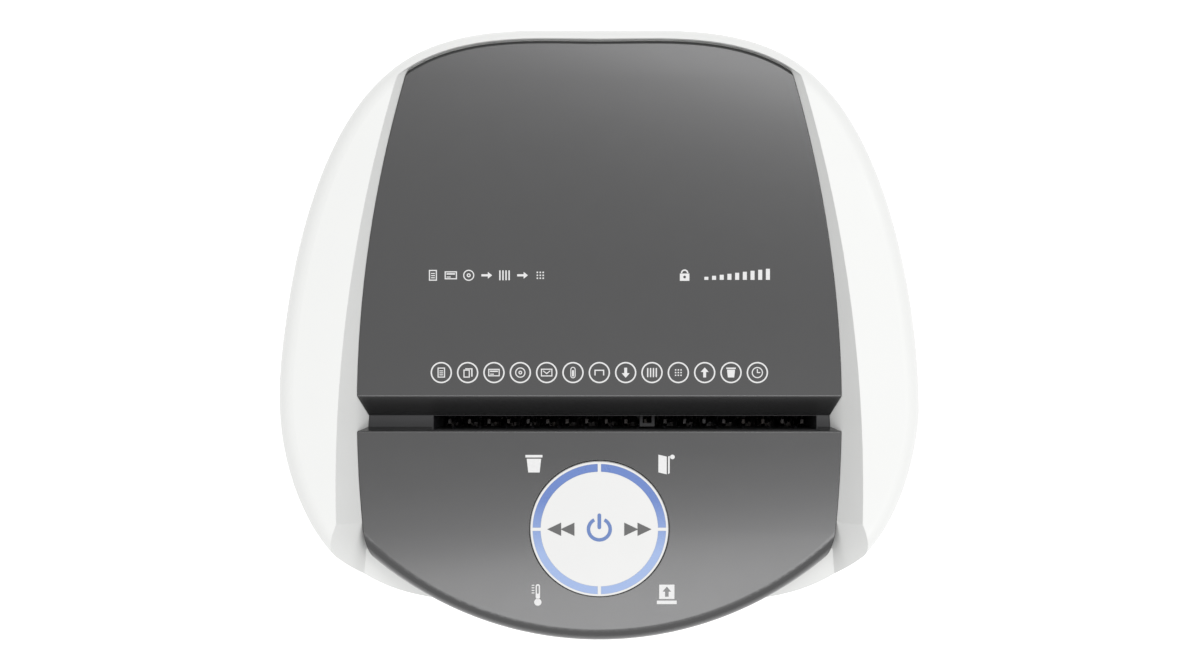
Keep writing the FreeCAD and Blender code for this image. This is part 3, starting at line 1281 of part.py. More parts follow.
def bin_switch_plunger():
    """Plunger of the safety switch, held in by the closed bin."""
    tip_y = BIN_REAR_Y + 0.3
    stem = rod_y(1.5, tip_y, BIN_SWITCH_Y + 7, BIN_SWITCH_X, HEAD_Z - 5.5)
    return stem


# ---------------------------------------------------------------- casters
AXLE_RADIUS = 2.5
HOOD_RADIUS = WHEEL_RADIUS + 3.2
HOUSING_HALF = WEB_THICKNESS / 2 + WHEEL_TREAD + 1.0
HOUSING_TOP = CASTER_HEIGHT - 1.0
BRAKE_REACH = WHEEL_RADIUS + 5.5
BRAKE_ANGLE = 35.0
BRAKE_SWING = 20.0
BRAKE_PIN_RADIUS = 1.5
BRAKE_HALF = 11.0


def wheel_centre(spot):
    """(y, z) of the axle of a caster that trails towards +Y."""
    return (spot[1] + CASTER_TRAIL, WHEEL_RADIUS)


def faced(shape, spot):
    """Turns a caster part built to trail rearwards; the front casters trail forwards."""
    if spot[1] > 0:
        return shape
    return shape.mirror(V(0, spot[1], 0), Y_AXIS)


def brake_pivot(spot):
    return polar(wheel_centre(spot), BRAKE_REACH, BRAKE_ANGLE)


def radial_bar(origin, direction, r0, r1, half, x0, x1):
    """Bar from radius r0 to r1 along a direction in the YZ plane, half wide on each side."""
    side = 90.0
    near, far = polar(origin, r0, direction), polar(origin, r1, direction)
    corners = [polar(near, half, direction + side), polar(far, half, direction + side)]
    corners += [polar(far, half, direction - side), polar(near, half, direction - side)]
    return polygon_block(corners, x0, x1)


def brake_lug(spot, x):
    """Arm of the fork's web out to the pedal's pin, and the pin itself."""
    half_web = WEB_THICKNESS / 2
    at, pivot = wheel_centre(spot), brake_pivot(spot)
    arm = radial_bar(at, BRAKE_ANGLE, 8.0, BRAKE_REACH, 4.0, x - half_web, x + half_web)
    eye = rod_x(4.0, x - half_web, x + half_web, pivot)
    return arm.fuse(eye).fuse(rod_x(BRAKE_PIN_RADIUS, x - BRAKE_HALF, x + BRAKE_HALF, pivot))


def caster_housing(spot, braked):
    """Swivelling fork of a twin-wheel caster: web between the wheels, hood, socket for the stem."""
    x, y = spot
    at = wheel_centre(spot)
    half_web = WEB_THICKNESS / 2
    web = rod_x(WHEEL_RADIUS - 4, x - half_web, x + half_web, at)
    hood = ring_x(HOOD_RADIUS, WHEEL_RADIUS + 1.4, x - HOUSING_HALF, x + HOUSING_HALF, at)
    hood = hood.common(box(x - 50, x + 50, y - 9, at[0] + 9, WHEEL_RADIUS + 3, 80))
    post = box(x - half_web, x + half_web, y - 9, y + 9, WHEEL_RADIUS - 2, HOUSING_TOP - 4)
    spine = rod_x(HOOD_RADIUS - 0.5, x - half_web, x + half_web, at)
    spine = spine.common(box(x - 9, x + 9, y - 9, at[0] + 8, WHEEL_RADIUS - 2, 80))
    socket = rod_z(9, WHEEL_RADIUS + 5, HOUSING_TOP, x, y)
    web_zone = box(x - half_web, x + half_web, y - 60, y + 60, 0, 80)
    wheel_room = rod_x(WHEEL_RADIUS + 1.4, x - 30, x + 30, at).cut(web_zone)
    socket = socket.cut(wheel_room)
    housing = web.multiFuse([hood, post.cut(wheel_room), spine, socket])
    if braked:
        housing = housing.fuse(brake_lug(spot, x))
    housing = housing.cut(rod_z(STEM_RADIUS + RUN_CLEARANCE, WHEEL_RADIUS + 7, 80, x, y))
    housing = housing.cut(rod_x(AXLE_RADIUS + RUN_CLEARANCE, x - 30, x + 30, at))
    return faced(housing, spot)


def caster_wheels(spot):
    """Two wheels pressed on one axle: tyre band, dished side and hub."""
    x = spot[0]
    at = wheel_centre(spot)
    axle_half = WEB_THICKNESS / 2 + 5
    wheels = rod_x(AXLE_RADIUS, x - axle_half, x + axle_half, at)
    for side in (1, -1):
        inner = x + side * (WEB_THICKNESS / 2 + 0.5)
        outer = inner + side * WHEEL_TREAD
        wheel = rod_x(WHEEL_RADIUS, min(inner, outer), max(inner, outer), at)
        rims = edges_where(wheel, lambda e: e.BoundBox.XLength < 0.01 and e.Length > 20)
        wheel = wheel.makeFillet(1.5, rims)
        dish_foot = outer - side * 3
        dish = ring_x(WHEEL_RADIUS - 4, 5.5, min(outer, dish_foot), max(outer, dish_foot), at)
        wheels = wheels.fuse(wheel.cut(dish))
    return faced(wheels, spot)


def caster_stems():
    """Steel stems pressed into the base, on which the housings swivel."""
    stems = []
    for x, y in caster_spots().values():
        stem = rod_z(STEM_RADIUS, WHEEL_RADIUS + 8, BASE_Z + 15, x, y)
        stems.append(stem.fuse(rod_z(8.5, HOUSING_TOP + 0.3, BASE_Z, x, y)).removeSplitter())
    return Part.makeCompound(stems)


def caster_brake(spot):
    """Foot pedal of a braked caster in its free position; pressed down, its toes meet the tyres."""
    x = spot[0]
    half_web = WEB_THICKNESS / 2
    pivot = brake_pivot(spot)
    toe_angle = BRAKE_ANGLE + 180.0 + BRAKE_SWING
    inner, room = half_web + 0.3, 4.8
    toe_tip = BRAKE_REACH - WHEEL_RADIUS - 0.15
    pedal = radial_bar(pivot, 10.0, 2.0, 17.0, 1.6, x - BRAKE_HALF, x + BRAKE_HALF)
    pedal = pedal.cut(rod_x(room, x - inner, x + inner, pivot))
    for side in (1, -1):
        near, far = x + side * inner, x + side * BRAKE_HALF
        x0, x1 = min(near, far), max(near, far)
        hub = rod_x(3.4, x0, x1, pivot)
        toe = radial_bar(pivot, toe_angle, 0.0, toe_tip - 1.2, 1.2, x0, x1)
        tip = rod_x(1.2, x0, x1, polar(pivot, toe_tip - 1.2, toe_angle))
        pedal = pedal.multiFuse([hub, toe, tip])
    pedal = pedal.cut(rod_x(BRAKE_PIN_RADIUS + RUN_CLEARANCE, x - 20, x + 20, pivot))
    return faced(pedal, spot)


# ---------------------------------------------------------------- build
def builders():
    """Every node's name with the function that makes it."""
    table = {
        "head_shell": finished_head_shell,
        "rear_cover": rear_cover,
        "control_fascia": control_fascia,
        "paper_throat": paper_throat,
        "control_disc": control_disc,
        "light_ring": light_ring,
        "head_base": head_base,
        "cutter_plate_left": cutter_plate_left,
        "cutter_plate_right": cutter_plate_right,
        "drum_bushes": drum_bushes,
        "tie_rods": tie_rods,
        "frame_screws": frame_screws,
        "cutter_drum_front": cutter_drum_front,
        "cutter_drum_rear": cutter_drum_rear,
        "stripper_comb_front": lambda: stripper_comb(-1),
        "stripper_comb_rear": lambda: stripper_comb(1),
        "sync_gear_front": sync_gear_front,
        "sync_gear_rear": sync_gear_rear,
        "drum_drive_gear": drum_drive_gear,
        "reduction_gear": reduction_gear,
        "reduction_axle": reduction_axle,
        "outer_gear_plate": outer_gear_plate,
        "gear_plate_posts": gear_plate_posts,
        "motor_can": motor_can,
        "motor_end_cap": motor_end_cap,
        "motor_rotor": motor_rotor,
        "motor_pinion": motor_pinion,
        "motor_fan": motor_fan,
        "paper_sensor_lever": paper_sensor_lever,
        "paper_sensor_bracket": paper_sensor_bracket,
        "control_board": control_board,
        "board_standoffs": board_standoffs,
        "power_board": power_board,
        "power_inlet": power_inlet,
        "rocker_bezel": rocker_bezel,
        "rocker_switch": rocker_switch,
        "cabinet_shell": cabinet_shell,
        "head_bridge": head_bridge,
        "base_tray": base_tray,
        "bin_tub": bin_tub,
        "bin_front": bin_front,
        "window_bezel": window_bezel,
        "bin_window": bin_window,
        "bin_grip": bin_grip,
        "bin_screws": bin_screws,
        "bin_switch": bin_switch,
        "bin_switch_plunger": bin_switch_plunger,
        "caster_stems": caster_stems,
    }
    for name, spot in caster_spots().items():
        braked = spot[1] < 0
        table["caster_housing_" + name] = lambda spot=spot, braked=braked: caster_housing(spot, braked)
        table["caster_wheels_" + name] = lambda spot=spot: caster_wheels(spot)
        if braked:
            table["caster_brake_" + name] = lambda spot=spot: caster_brake(spot)
    return table


def main():
    os.makedirs("parts", exist_ok=True)
    for name, build in builders().items():
        shape = build()
        if not shape.isValid() or shape.Volume <= 0:
            raise ValueError(name + " is not a valid solid")
        shape.exportStep("parts/" + name + ".step")


main()
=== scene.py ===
"""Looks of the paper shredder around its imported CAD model: materials, printed marks, light and camera."""

import json
import math

import bpy
from mathutils import Matrix, Vector


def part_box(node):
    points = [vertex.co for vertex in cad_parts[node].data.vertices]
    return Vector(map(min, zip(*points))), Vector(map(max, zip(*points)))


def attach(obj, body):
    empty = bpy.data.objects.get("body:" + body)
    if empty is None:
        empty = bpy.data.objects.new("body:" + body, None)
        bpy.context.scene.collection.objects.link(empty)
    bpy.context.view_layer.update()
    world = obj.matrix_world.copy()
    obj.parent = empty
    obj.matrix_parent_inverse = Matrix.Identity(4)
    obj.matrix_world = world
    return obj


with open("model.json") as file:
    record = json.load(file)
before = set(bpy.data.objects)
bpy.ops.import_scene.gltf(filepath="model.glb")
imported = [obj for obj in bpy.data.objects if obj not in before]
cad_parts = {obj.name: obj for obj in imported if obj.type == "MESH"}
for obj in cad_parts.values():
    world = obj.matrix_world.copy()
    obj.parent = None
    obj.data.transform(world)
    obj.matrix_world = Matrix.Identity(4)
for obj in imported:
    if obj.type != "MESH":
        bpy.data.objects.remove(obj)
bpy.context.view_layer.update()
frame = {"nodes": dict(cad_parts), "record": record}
NODES = frame["nodes"]
MM = 0.001

# The dark top is one arc in side view; these repeat the CAD's own sizes, in metres
TOP_ARC_RADIUS = 1.25
TOP_APEX_Y = 0.100
TOP_APEX_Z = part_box("rear_cover")[1].z
PRINT_LIFT = 0.00004
PRINT_THICKNESS = 0.00010
DISC_Y = -0.116
DISC_PROUD = 0.0008

# Tool marks on bare metal: how many to a metre, and how deep
TOOL_MARK_SCALE = 900.0
TOOL_MARK_DEPTH = 0.00001

# Where the printed groups lie on the dark top, and how far apart their signs are, in metres
SIGN_ROW_Y = -0.0216
SIGN_ROW_PITCH = 0.01578
FEED_LEFT_X = -0.0995
FEED_LEFT_PITCH = 0.0107
FEED_LEFT_Y = 0.0366
SCALE_X = 0.0640
SCALE_PITCH = 0.0046
SCALE_Y = 0.0372
SCALE_BARS = 9
PADLOCK_X = 0.0510
PADLOCK_Y = 0.0370
STATUS_REAR_Y = -0.0765
STATUS_FRONT_Y = -0.1560

# Shape of the printed groups, in millimetres
SIGN_RING_RADIUS = 6.4
SIGN_RING_LINE = 0.85
SCALE_FIRST = 1.8
SCALE_STEP = 0.6
SCALE_LAST = SCALE_FIRST + SCALE_STEP * (SCALE_BARS - 1)

CAMERA_VIEW_WIDTH = 0.720
CAMERA_DISTANCE = 2.2
PANEL_Z = 0.54
FLOOR_HALF = 6.0


# ---------------------------------------------------------------- node helpers
def new_material(name):
    mat = bpy.data.materials.new(name)
    mat.use_nodes = True
    tree = mat.node_tree
    return mat, tree, tree.nodes["Principled BSDF"]


def texture_vector(tree):
    """Object coordinates, so that grain keeps its size and place on the piece."""
    return tree.nodes.new("ShaderNodeTexCoord").outputs["Object"]


def noise(tree, vector, scale, detail=2.0, roughness=0.5):
    node = tree.nodes.new("ShaderNodeTexNoise")
    node.inputs["Scale"].default_value = scale
    node.inputs["Detail"].default_value = detail
    node.inputs["Roughness"].default_value = roughness
    tree.links.new(vector, node.inputs["Vector"])
    return node.outputs["Fac"]


def remap(tree, value, low, high, from_low=0.3, from_high=0.7):
    node = tree.nodes.new("ShaderNodeMapRange")
    node.inputs["From Min"].default_value = from_low
    node.inputs["From Max"].default_value = from_high
    node.inputs["To Min"].default_value = low
    node.inputs["To Max"].default_value = high
    tree.links.new(value, node.inputs["Value"])
    return node.outputs["Result"]


def blend_colors(tree, factor, first, second):
    node = tree.nodes.new("ShaderNodeMix")
    node.data_type = "RGBA"
    node.inputs["A"].default_value = (*first, 1.0)
    node.inputs["B"].default_value = (*second, 1.0)
    tree.links.new(factor, node.inputs["Factor"])
    return node.outputs["Result"]


def bump(tree, height, distance, strength=1.0, normal=None):
    node = tree.nodes.new("ShaderNodeBump")
    node.inputs["Strength"].default_value = strength
    node.inputs["Distance"].default_value = distance
    tree.links.new(height, node.inputs["Height"])
    if normal is not None:
        tree.links.new(normal, node.inputs["Normal"])
    return node.outputs["Normal"]


def soft_edges(tree, radius):
    """Rounds the look of sharp moulded edges by a small radius."""
    node = tree.nodes.new("ShaderNodeBevel")
    node.samples = 6
    node.inputs["Radius"].default_value = radius
    return node.outputs["Normal"]


def moulded(name, color, rough, metallic=0.0, grain=2600.0, grain_depth=0.00001, shade=0.03, edge=0.0005,
            coat=0.0, rough_spread=0.04):
    """Moulded plastic or painted sheet: fine grain, faint flow in its colour and gloss, softened edges."""
    mat, tree, shader = new_material(name)
    vector = texture_vector(tree)
    flow = remap(tree, noise(tree, vector, 9.0, 3.0), 0.0, 1.0)
    darker = tuple(c * (1.0 - shade) for c in color)
    tree.links.new(blend_colors(tree, flow, darker, color), shader.inputs["Base Color"])
    sheen = remap(tree, noise(tree, vector, 60.0, 2.0), rough - rough_spread, rough + rough_spread)
    tree.links.new(sheen, shader.inputs["Roughness"])
    shader.inputs["Metallic"].default_value = metallic
    shader.inputs["Coat Weight"].default_value = coat
    shader.inputs["Coat Roughness"].default_value = 0.12
    rounded = soft_edges(tree, edge)
    fine = noise(tree, vector, grain, 2.0, 0.6)
    tree.links.new(bump(tree, fine, grain_depth, 0.6, rounded), shader.inputs["Normal"])
    return mat


def machined(name, color, rough, axis_stretch, stain=None):
    """Bare metal with tool marks drawn out along one axis, and a little staining."""
    mat, tree, shader = new_material(name)
    vector = texture_vector(tree)
    mapping = tree.nodes.new("ShaderNodeMapping")
    mapping.inputs["Scale"].default_value = axis_stretch
    tree.links.new(vector, mapping.inputs["Vector"])
    lines = noise(tree, mapping.outputs["Vector"], TOOL_MARK_SCALE, 3.0, 0.6)
    patches = remap(tree, noise(tree, vector, 45.0, 4.0), 0.0, 1.0)
    second = stain if stain else tuple(c * 0.8 for c in color)
    tree.links.new(blend_colors(tree, patches, color, second), shader.inputs["Base Color"])
    tree.links.new(remap(tree, lines, rough - 0.08, rough + 0.1), shader.inputs["Roughness"])
    shader.inputs["Metallic"].default_value = 1.0
    tree.links.new(bump(tree, lines, TOOL_MARK_DEPTH, 0.5), shader.inputs["Normal"])
    return mat


def clear_plastic(name, color, rough, transmission):
    """Tinted see-through plastic with faint flow lines."""
    mat, tree, shader = new_material(name)
    vector = texture_vector(tree)
    flow = remap(tree, noise(tree, vector, 14.0, 3.0), 0.0, 1.0)
    deeper = tuple(c * 0.85 for c in color)
    tree.links.new(blend_colors(tree, flow, deeper, color), shader.inputs["Base Color"])
    tree.links.new(remap(tree, noise(tree, vector, 120.0), rough, rough + 0.08), shader.inputs["Roughness"])
    shader.inputs["Transmission Weight"].default_value = transmission
    shader.inputs["IOR"].default_value = 1.5
    return mat


def circuit_board(name):
    """Green solder mask with traces in a slightly lighter green."""
    mat, tree, shader = new_material(name)
    vector = texture_vector(tree)
    cells = tree.nodes.new("ShaderNodeTexVoronoi")
    cells.feature = "DISTANCE_TO_EDGE"
    cells.distance = "CHEBYCHEV"
    cells.inputs["Scale"].default_value = 190.0
    tree.links.new(vector, cells.inputs["Vector"])
    traces = remap(tree, cells.outputs["Distance"], 1.0, 0.0, 0.03, 0.06)
    mask, copper = (0.012, 0.075, 0.035), (0.03, 0.16, 0.07)
    tree.links.new(blend_colors(tree, traces, mask, copper), shader.inputs["Base Color"])
    tree.links.new(remap(tree, traces, 0.28, 0.38, 0.0, 1.0), shader.inputs["Roughness"])
    tree.links.new(bump(tree, traces, 0.00004, 0.6), shader.inputs["Normal"])
    return mat


def printed(name, color):
    """Screen-printed ink: a little uneven where it was laid down."""
    mat, tree, shader = new_material(name)
    vector = texture_vector(tree)
    patches = remap(tree, noise(tree, vector, 700.0, 2.0), 0.0, 1.0)
    thin = tuple(c * 0.94 for c in color)
    tree.links.new(blend_colors(tree, patches, thin, color), shader.inputs["Base Color"])
    tree.links.new(remap(tree, patches, 0.5, 0.6, 0.0, 1.0), shader.inputs["Roughness"])
    return mat


def lit_guide(name, front_color, rear_color, y_low, y_high):
    """Blue light guide: its front half shines paler than its rear half."""
    mat, tree, shader = new_material(name)
    vector = texture_vector(tree)
    split = tree.nodes.new("ShaderNodeSeparateXYZ")
    tree.links.new(vector, split.inputs["Vector"])
    middle = (y_low + y_high) / 2
    along = remap(tree, split.outputs["Y"], 0.0, 1.0, middle - 0.015, middle + 0.018)
    color = blend_colors(tree, along, front_color, rear_color)
    tree.links.new(color, shader.inputs["Base Color"])
    tree.links.new(color, shader.inputs["Emission Color"])
    shader.inputs["Emission Strength"].default_value = 0.10
    tree.links.new(remap(tree, noise(tree, vector, 300.0), 0.25, 0.35), shader.inputs["Roughness"])
    return mat


# ---------------------------------------------------------------- materials by slot
ring_low, ring_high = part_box("light_ring")
SLOT_MATERIALS = {
    "white_shell": moulded("white_satin", (0.71, 0.715, 0.705), 0.42, grain=1800.0, shade=0.015, edge=0.0006),
    "dark_cover": moulded("dark_metallic", (0.085, 0.085, 0.086), 0.26, metallic=0.85, grain=2400.0,
                          grain_depth=0.000001, shade=0.015, edge=0.0006, coat=0.35, rough_spread=0.006),
    "throat_black": moulded("throat_black", (0.018, 0.018, 0.020), 0.45, edge=0.0004),
    "disc_white": moulded("disc_white", (0.655, 0.655, 0.65), 0.35, grain=3000.0, shade=0.01, edge=0.0003),
    "ring_blue": lit_guide("ring_blue", (0.245, 0.335, 0.555), (0.090, 0.160, 0.410),
                           ring_low.y, ring_high.y),
    "inner_plastic": moulded("inner_plastic", (0.022, 0.022, 0.024), 0.5),
    "plate_steel": machined("plate_steel", (0.56, 0.57, 0.58), 0.34, (1.0, 0.08, 1.0)),
    "cutter_steel": machined("cutter_steel", (0.26, 0.26, 0.27), 0.34, (1.0, 0.3, 0.3),
                             stain=(0.17, 0.15, 0.13)),
    "bronze": machined("bronze", (0.45, 0.27, 0.12), 0.4, (0.2, 1.0, 1.0)),
    "comb_plastic": moulded("comb_nylon", (0.55, 0.54, 0.48), 0.5, edge=0.0003),
    "gear_steel": machined("gear_steel", (0.20, 0.20, 0.21), 0.42, (0.1, 1.0, 1.0),
                           stain=(0.12, 0.11, 0.10)),
    "motor_steel": moulded("motor_black", (0.03, 0.03, 0.032), 0.38, metallic=0.3),
    "rotor_steel": machined("rotor_steel", (0.42, 0.36, 0.32), 0.45, (8.0, 0.2, 0.2),
                            stain=(0.40, 0.18, 0.08)),
    "fan_plastic": moulded("fan_nylon", (0.035, 0.035, 0.037), 0.5),
    "board_green": circuit_board("board_green"),
    "socket_black": moulded("socket_black", (0.015, 0.015, 0.016), 0.4, edge=0.0003),
    "bin_smoke": clear_plastic("bin_smoke", (0.16, 0.17, 0.18), 0.3, 0.35),
    "window_smoke": clear_plastic("window_smoke", (0.30, 0.32, 0.34), 0.05, 0.85),
    "screw_steel": machined("screw_steel", (0.60, 0.60, 0.61), 0.3, (1.0, 1.0, 1.0)),
    "fork_black": moulded("fork_black", (0.02, 0.02, 0.022), 0.5, edge=0.0004),
    "wheel_grey": moulded("tread_grey", (0.05, 0.05, 0.053), 0.6, grain=1200.0, grain_depth=0.00003,
                          edge=0.0004),
    "pedal_grey": moulded("pedal_grey", (0.20, 0.21, 0.22), 0.45, edge=0.0004),
}
for entry in frame["record"]["subparts"]:
    node = NODES[entry["node"]]
    node.data.materials.clear()
    node.data.materials.append(SLOT_MATERIALS[entry["material_slot"]])

INK_LIGHT = printed("ink_light_grey", (0.66, 0.66, 0.66))
INK_WHITE = printed("ink_white", (0.68, 0.68, 0.68))
INK_DARK = printed("ink_dark_grey", (0.105, 0.105, 0.105))
INK_BLUE = printed("ink_blue", (0.115, 0.190, 0.430))


# ---------------------------------------------------------------- flat outlines, in millimetres
def circle(u, v, r, steps=36):
    turn = 2 * math.pi / steps
    return [(u + r * math.cos(turn * i), v + r * math.sin(turn * i)) for i in range(steps)]


def rect(u, v, w, h):
    return [(u - w / 2, v - h / 2), (u + w / 2, v - h / 2), (u + w / 2, v + h / 2), (u - w / 2, v + h / 2)]


def pill(u, v, w, h, steps=8):
    """Bar with round ends along its longer side."""
    r = min(w, h) / 2
    dx, dy = w / 2 - r, h / 2 - r
    points = []
    for k, (cx, cy) in enumerate(((dx, dy), (-dx, dy), (-dx, -dy), (dx, -dy))):
        for i in range(steps + 1):
            a = math.pi / 2 * (k + i / steps)
            points.append((u + cx + r * math.cos(a), v + cy + r * math.sin(a)))
    return points


def frame_of(u, v, w, h, line):
    return [rect(u, v, w, h), rect(u, v, w - 2 * line, h - 2 * line)]


def shifted(loops, u, v, scale=1.0):
    return [[(x * scale + u, y * scale + v) for x, y in loop] for loop in loops]


def arc_band(r_in, r_out, start, end, steps=44):
    """Part of a ring between two angles in degrees."""
    angles = [math.radians(start + (end - start) * i / steps) for i in range(steps + 1)]
    outer = [(r_out * math.cos(a), r_out * math.sin(a)) for a in angles]
    inner = [(r_in * math.cos(a), r_in * math.sin(a)) for a in reversed(angles)]
    return outer + inner


# ---------------------------------------------------------------- generic pictograms, each about 8 mm across
def sheet_sign():
    return frame_of(0, 0, 5.2, 7.0, 0.7) + [rect(0, v, 2.6, 0.6) for v in (1.2, -0.2, -1.6)]


def stack_sign():
    behind = [(-1.6, 3.0), (3.4, 3.0), (3.4, -2.8), (2.5, -2.8), (2.5, 2.3), (-1.6, 2.3)]
    return frame_of(-0.7, -0.7, 4.4, 5.6, 0.7) + [behind]


def card_sign():
    return frame_of(0, 0, 8.0, 5.2, 0.7) + [rect(0, 0.9, 5.6, 0.9), rect(-1.4, -1.1, 2.6, 0.6)]


def disc_sign():
    return [circle(0, 0, 3.6), circle(0, 0, 2.9), circle(0, 0, 1.3), circle(0, 0, 0.6)]


def letter_sign():
    flap = [(-2.9, 1.3), (-2.0, 1.3), (0, -0.3), (2.0, 1.3), (2.9, 1.3), (0, -1.2)]
    return frame_of(0, 0, 8.0, 5.4, 0.7) + [flap]


def clip_sign():
    return [pill(0, 0, 3.6, 8.0), pill(0, 0, 2.4, 6.8), pill(0, -0.5, 1.3, 4.6)]


def staple_sign():
    legs = [(-3.4, -2.0), (-2.6, -2.0), (-2.6, 1.2), (2.6, 1.2), (2.6, -2.0), (3.4, -2.0)]
    return [legs + [(3.4, 2.0), (-3.4, 2.0)]]


def arrow_sign():
    return [[(0, -3.6), (2.8, -0.4), (1.0, -0.4), (1.0, 3.4), (-1.0, 3.4), (-1.0, -0.4), (-2.8, -0.4)]]


def strips_sign():
    return [rect(x, 0, 0.9, 6.4) for x in (-3.0, -1.0, 1.0, 3.0)]


def particles_sign():
    return [rect(1.9 * i, 1.9 * j, 0.95, 0.95) for i in (-1, 0, 1) for j in (-1, 0, 1)]


def lift_sign():
    return [[(-x, -y) for x, y in loop] for loop in arrow_sign()]


def bin_sign():
    body = [(-2.2, -3.4), (2.2, -3.4), (2.8, 2.0), (-2.8, 2.0)]
    return [body, rect(0, 3.0, 6.6, 1.0)]


def clock_sign():
    hands = [(-0.35, 2.4), (0.35, 2.4), (0.35, 0.35), (2.0, 0.35), (2.0, -0.35), (-0.35, -0.35)]
    return [circle(0, 0, 3.9), circle(0, 0, 3.2), hands]


def padlock_sign():
    shackle = arc_band(1.5, 2.4, 0, 180, 20)
    return [rect(0, -1.6, 6.0, 4.6), circle(0, -1.5, 0.9, 16), [(x, y + 0.9) for x, y in shackle]]


ROW_SIGNS = [sheet_sign, stack_sign, card_sign, disc_sign, letter_sign, clip_sign, staple_sign, arrow_sign,
             strips_sign, particles_sign, lift_sign, bin_sign, clock_sign]


def door_sign():
    leaf = [(-3.8, -5.2), (1.2, -6.4), (1.2, 4.4), (-3.8, 5.6)]
    edge = [(2.0, -6.4), (3.0, -5.6), (3.0, 4.9), (2.0, 4.4)]
    return [leaf, edge, circle(4.6, 4.2, 1.4)]


def heat_sign():
    stem = pill(0, 1.8, 2.6, 9.4)
    ticks = [rect(-2.9, 1.0 + 1.6 * k, 1.6, 0.6) for k in range(4)]
    return [stem, pill(0, 3.0, 1.1, 5.2)] + ticks + [circle(0, -4.8, 2.2)]


def jam_sign():
    arrow = [(0, 5.0), (2.6, 1.8), (1.1, 1.8), (1.1, -1.4), (-1.1, -1.4), (-1.1, 1.8), (-2.6, 1.8)]
    return [rect(0, 1.7, 9.2, 9.0), arrow, rect(0, -4.9, 12.0, 2.2)]


def waste_sign():
    return shifted(bin_sign(), 0, 0, 1.55)


# ---------------------------------------------------------------- printed marks as thin meshes on the surface
def panel_place(x, y):
    """Tangent frame of the dark top at a point: x to the right, y up the slope, z outwards."""
    lean = (y - TOP_APEX_Y) / TOP_ARC_RADIUS
    slope = -math.asin(lean)
    z = TOP_APEX_Z - TOP_ARC_RADIUS * (1 - math.cos(math.asin(lean)))
    return Matrix.Translation((x, y, z)) @ Matrix.Rotation(slope, 4, "X")


def flat_mesh(loops, place, lift=PRINT_LIFT):
    """Thin filled plate from closed outlines; an outline inside another is a hole."""
    curve = bpy.data.curves.new("outline", "CURVE")
    curve.dimensions = "2D"
    curve.fill_mode = "BOTH"
    curve.extrude = PRINT_THICKNESS / 2
    for loop in loops:
        spline = curve.splines.new("POLY")
        spline.points.add(len(loop) - 1)
        for point, (u, v) in zip(spline.points, loop):
            point.co = (u * MM, v * MM, 0.0, 1.0)
        spline.use_cyclic_u = True
    holder = bpy.data.objects.new("outline", curve)
    bpy.context.scene.collection.objects.link(holder)
    bpy.context.view_layer.update()
    evaluated = holder.evaluated_get(bpy.context.evaluated_depsgraph_get())
    mesh = bpy.data.meshes.new_from_object(evaluated)
    bpy.data.objects.remove(holder)
    bpy.data.curves.remove(curve)
    mesh.transform(place @ Matrix.Translation((0, 0, lift + PRINT_THICKNESS / 2)))
    return mesh


def printed_piece(name, meshes, ink):
    """Joins printed marks into one piece that rides on the casing."""
    vertices, faces = [], []
    for mesh in meshes:
        first = len(vertices)
        vertices += [v.co.copy() for v in mesh.vertices]
        faces += [[first + i for i in polygon.vertices] for polygon in mesh.polygons]
        bpy.data.meshes.remove(mesh)
    joined = bpy.data.meshes.new(name)
    joined.from_pydata(vertices, [], faces)
    joined.materials.append(ink)
    piece = bpy.data.objects.new(name, joined)
    bpy.context.scene.collection.objects.link(piece)
    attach(piece, "casing")


def sign_row():
    """Row of round pictograms on the rear cover, just behind the paper slot."""
    ring = [circle(0, 0, SIGN_RING_RADIUS, 48), circle(0, 0, SIGN_RING_RADIUS - SIGN_RING_LINE, 48)]
    middle = (len(ROW_SIGNS) - 1) / 2
    meshes = []
    for i, sign in enumerate(ROW_SIGNS):
        place = panel_place((i - middle) * SIGN_ROW_PITCH, SIGN_ROW_Y)
        meshes.append(flat_mesh(ring + shifted(sign(), 0, 0, 0.86), place))
    printed_piece("sign_row", meshes, INK_LIGHT)


def feed_marks():
    """Two generic groups on the rear cover: what goes in and comes out, and a padlock with a scale."""
    arrow = [(-3.4, 0.7), (0.8, 0.7), (0.8, 2.2), (3.6, 0), (0.8, -2.2), (0.8, -0.7), (-3.4, -0.7)]
    left = [sheet_sign(), card_sign(), disc_sign(), [arrow], strips_sign(), [arrow], particles_sign()]
    meshes = []
    for k, sign in enumerate(left):
        place = panel_place(FEED_LEFT_X + FEED_LEFT_PITCH * k, FEED_LEFT_Y)
        meshes.append(flat_mesh(shifted(sign, 0, 0, 0.92), place))
    for k in range(SCALE_BARS):
        height = SCALE_FIRST + SCALE_STEP * k
        bar = rect(0, (height - SCALE_LAST) / 2, 2.4, height)
        meshes.append(flat_mesh([bar], panel_place(SCALE_X + SCALE_PITCH * k, SCALE_Y)))
    meshes.append(flat_mesh(shifted(padlock_sign(), 0, 0, 0.95), panel_place(PADLOCK_X, PADLOCK_Y)))
    printed_piece("feed_marks", meshes, INK_LIGHT)


def status_marks():
    """Four indicator pictograms around the disc."""
    spots = [(waste_sign, -0.0393, STATUS_REAR_Y), (door_sign, 0.0393, STATUS_REAR_Y),
             (heat_sign, -0.0372, STATUS_FRONT_Y), (jam_sign, 0.0408, STATUS_FRONT_Y)]
    meshes = [flat_mesh(sign(), panel_place(x, y)) for sign, x, y in spots]
    printed_piece("status_marks", meshes, INK_WHITE)


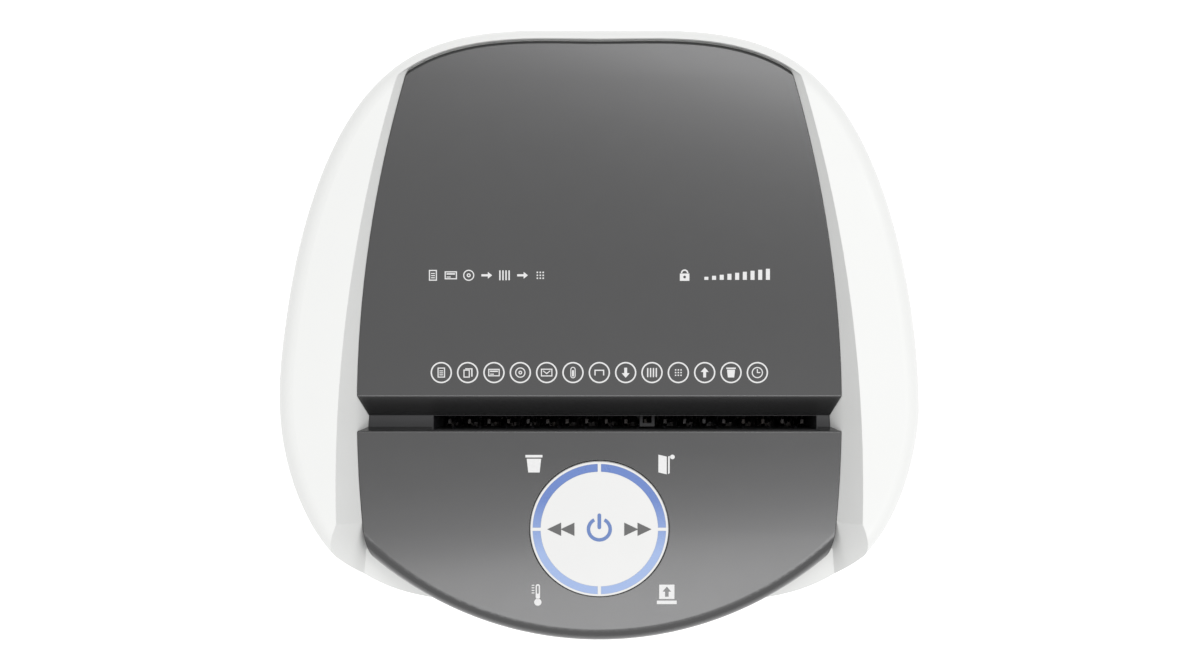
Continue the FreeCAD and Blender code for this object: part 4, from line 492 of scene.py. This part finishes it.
def disc_marks():
    """Power symbol and the two arrow pairs on the round panel."""
    place = panel_place(0.0, DISC_Y)
    lift = DISC_PROUD + PRINT_LIFT
    power = [arc_band(5.5, 7.6, 118, 422), pill(0, 4.9, 2.2, 9.7)]
    power_meshes = [flat_mesh([loop], place, lift) for loop in power]
    arrows = []
    for side in (-1, 1):
        for k in (0, 1):
            x0 = side * (15.0 + 8.0 * k)
            arrows.append([(x0, 4.1), (x0 + side * 8.4, 0.0), (x0, -4.1)])
    arrow_meshes = [flat_mesh([loop], place, lift) for loop in arrows]
    printed_piece("power_symbol", power_meshes, INK_BLUE)
    printed_piece("arrow_marks", arrow_meshes, INK_DARK)


sign_row()
feed_marks()
status_marks()
disc_marks()


# ---------------------------------------------------------------- floor, light and camera
def floor():
    mesh = bpy.data.meshes.new("studio_floor")
    corners = [(u * FLOOR_HALF, v * FLOOR_HALF, 0) for u, v in ((-1, -1), (1, -1), (1, 1), (-1, 1))]
    mesh.from_pydata(corners, [], [(0, 1, 2, 3)])
    mat, tree, shader = new_material("studio_paper")
    paper = remap(tree, noise(tree, texture_vector(tree), 3.0, 2.0), 0.0, 1.0)
    shades = blend_colors(tree, paper, (0.90, 0.90, 0.90), (0.92, 0.92, 0.92))
    tree.links.new(shades, shader.inputs["Base Color"])
    shader.inputs["Roughness"].default_value = 0.9
    shader.inputs["Emission Color"].default_value = (1.0, 1.0, 1.0, 1.0)
    shader.inputs["Emission Strength"].default_value = 0.42
    mesh.materials.append(mat)
    plane = bpy.data.objects.new("studio_floor", mesh)
    bpy.context.scene.collection.objects.link(plane)


def area_light(name, place, target, width, depth, power):
    light = bpy.data.lights.new(name, "AREA")
    light.shape = "RECTANGLE"
    light.size = width
    light.size_y = depth
    light.energy = power
    lamp = bpy.data.objects.new(name, light)
    lamp.location = place
    lamp.rotation_euler = (Vector(target) - Vector(place)).to_track_quat("-Z", "Y").to_euler()
    bpy.context.scene.collection.objects.link(lamp)


def studio():
    world = bpy.data.worlds.new("studio_world")
    bpy.context.scene.world = world
    world.use_nodes = True
    background = world.node_tree.nodes["Background"]
    background.inputs["Color"].default_value = (1.0, 1.0, 1.0, 1.0)
    background.inputs["Strength"].default_value = 0.90
    top = (0.0, 0.0, PANEL_Z)
    area_light("front_softbox", (0.30, -1.12, 2.18), top, 1.6, 0.6, 9.8)
    area_light("rear_softbox", (0.40, 0.57, 2.37), top, 1.6, 0.55, 9.3)


def camera():
    """Straight down, with a long lens; the front is at the bottom of the picture."""
    lens = bpy.data.cameras.new("product_camera")
    lens.sensor_width = 36.0
    lens.lens = lens.sensor_width * CAMERA_DISTANCE / CAMERA_VIEW_WIDTH
    lens.clip_end = 20.0
    eye = bpy.data.objects.new("product_camera", lens)
    eye.location = (0.0004, 0.0006, PANEL_Z + CAMERA_DISTANCE)
    eye.rotation_euler = (0.0, 0.0, 0.0)
    bpy.context.scene.collection.objects.link(eye)
    bpy.context.scene.camera = eye


floor()
studio()
camera()
bpy.context.scene.view_settings.view_transform = "Standard"
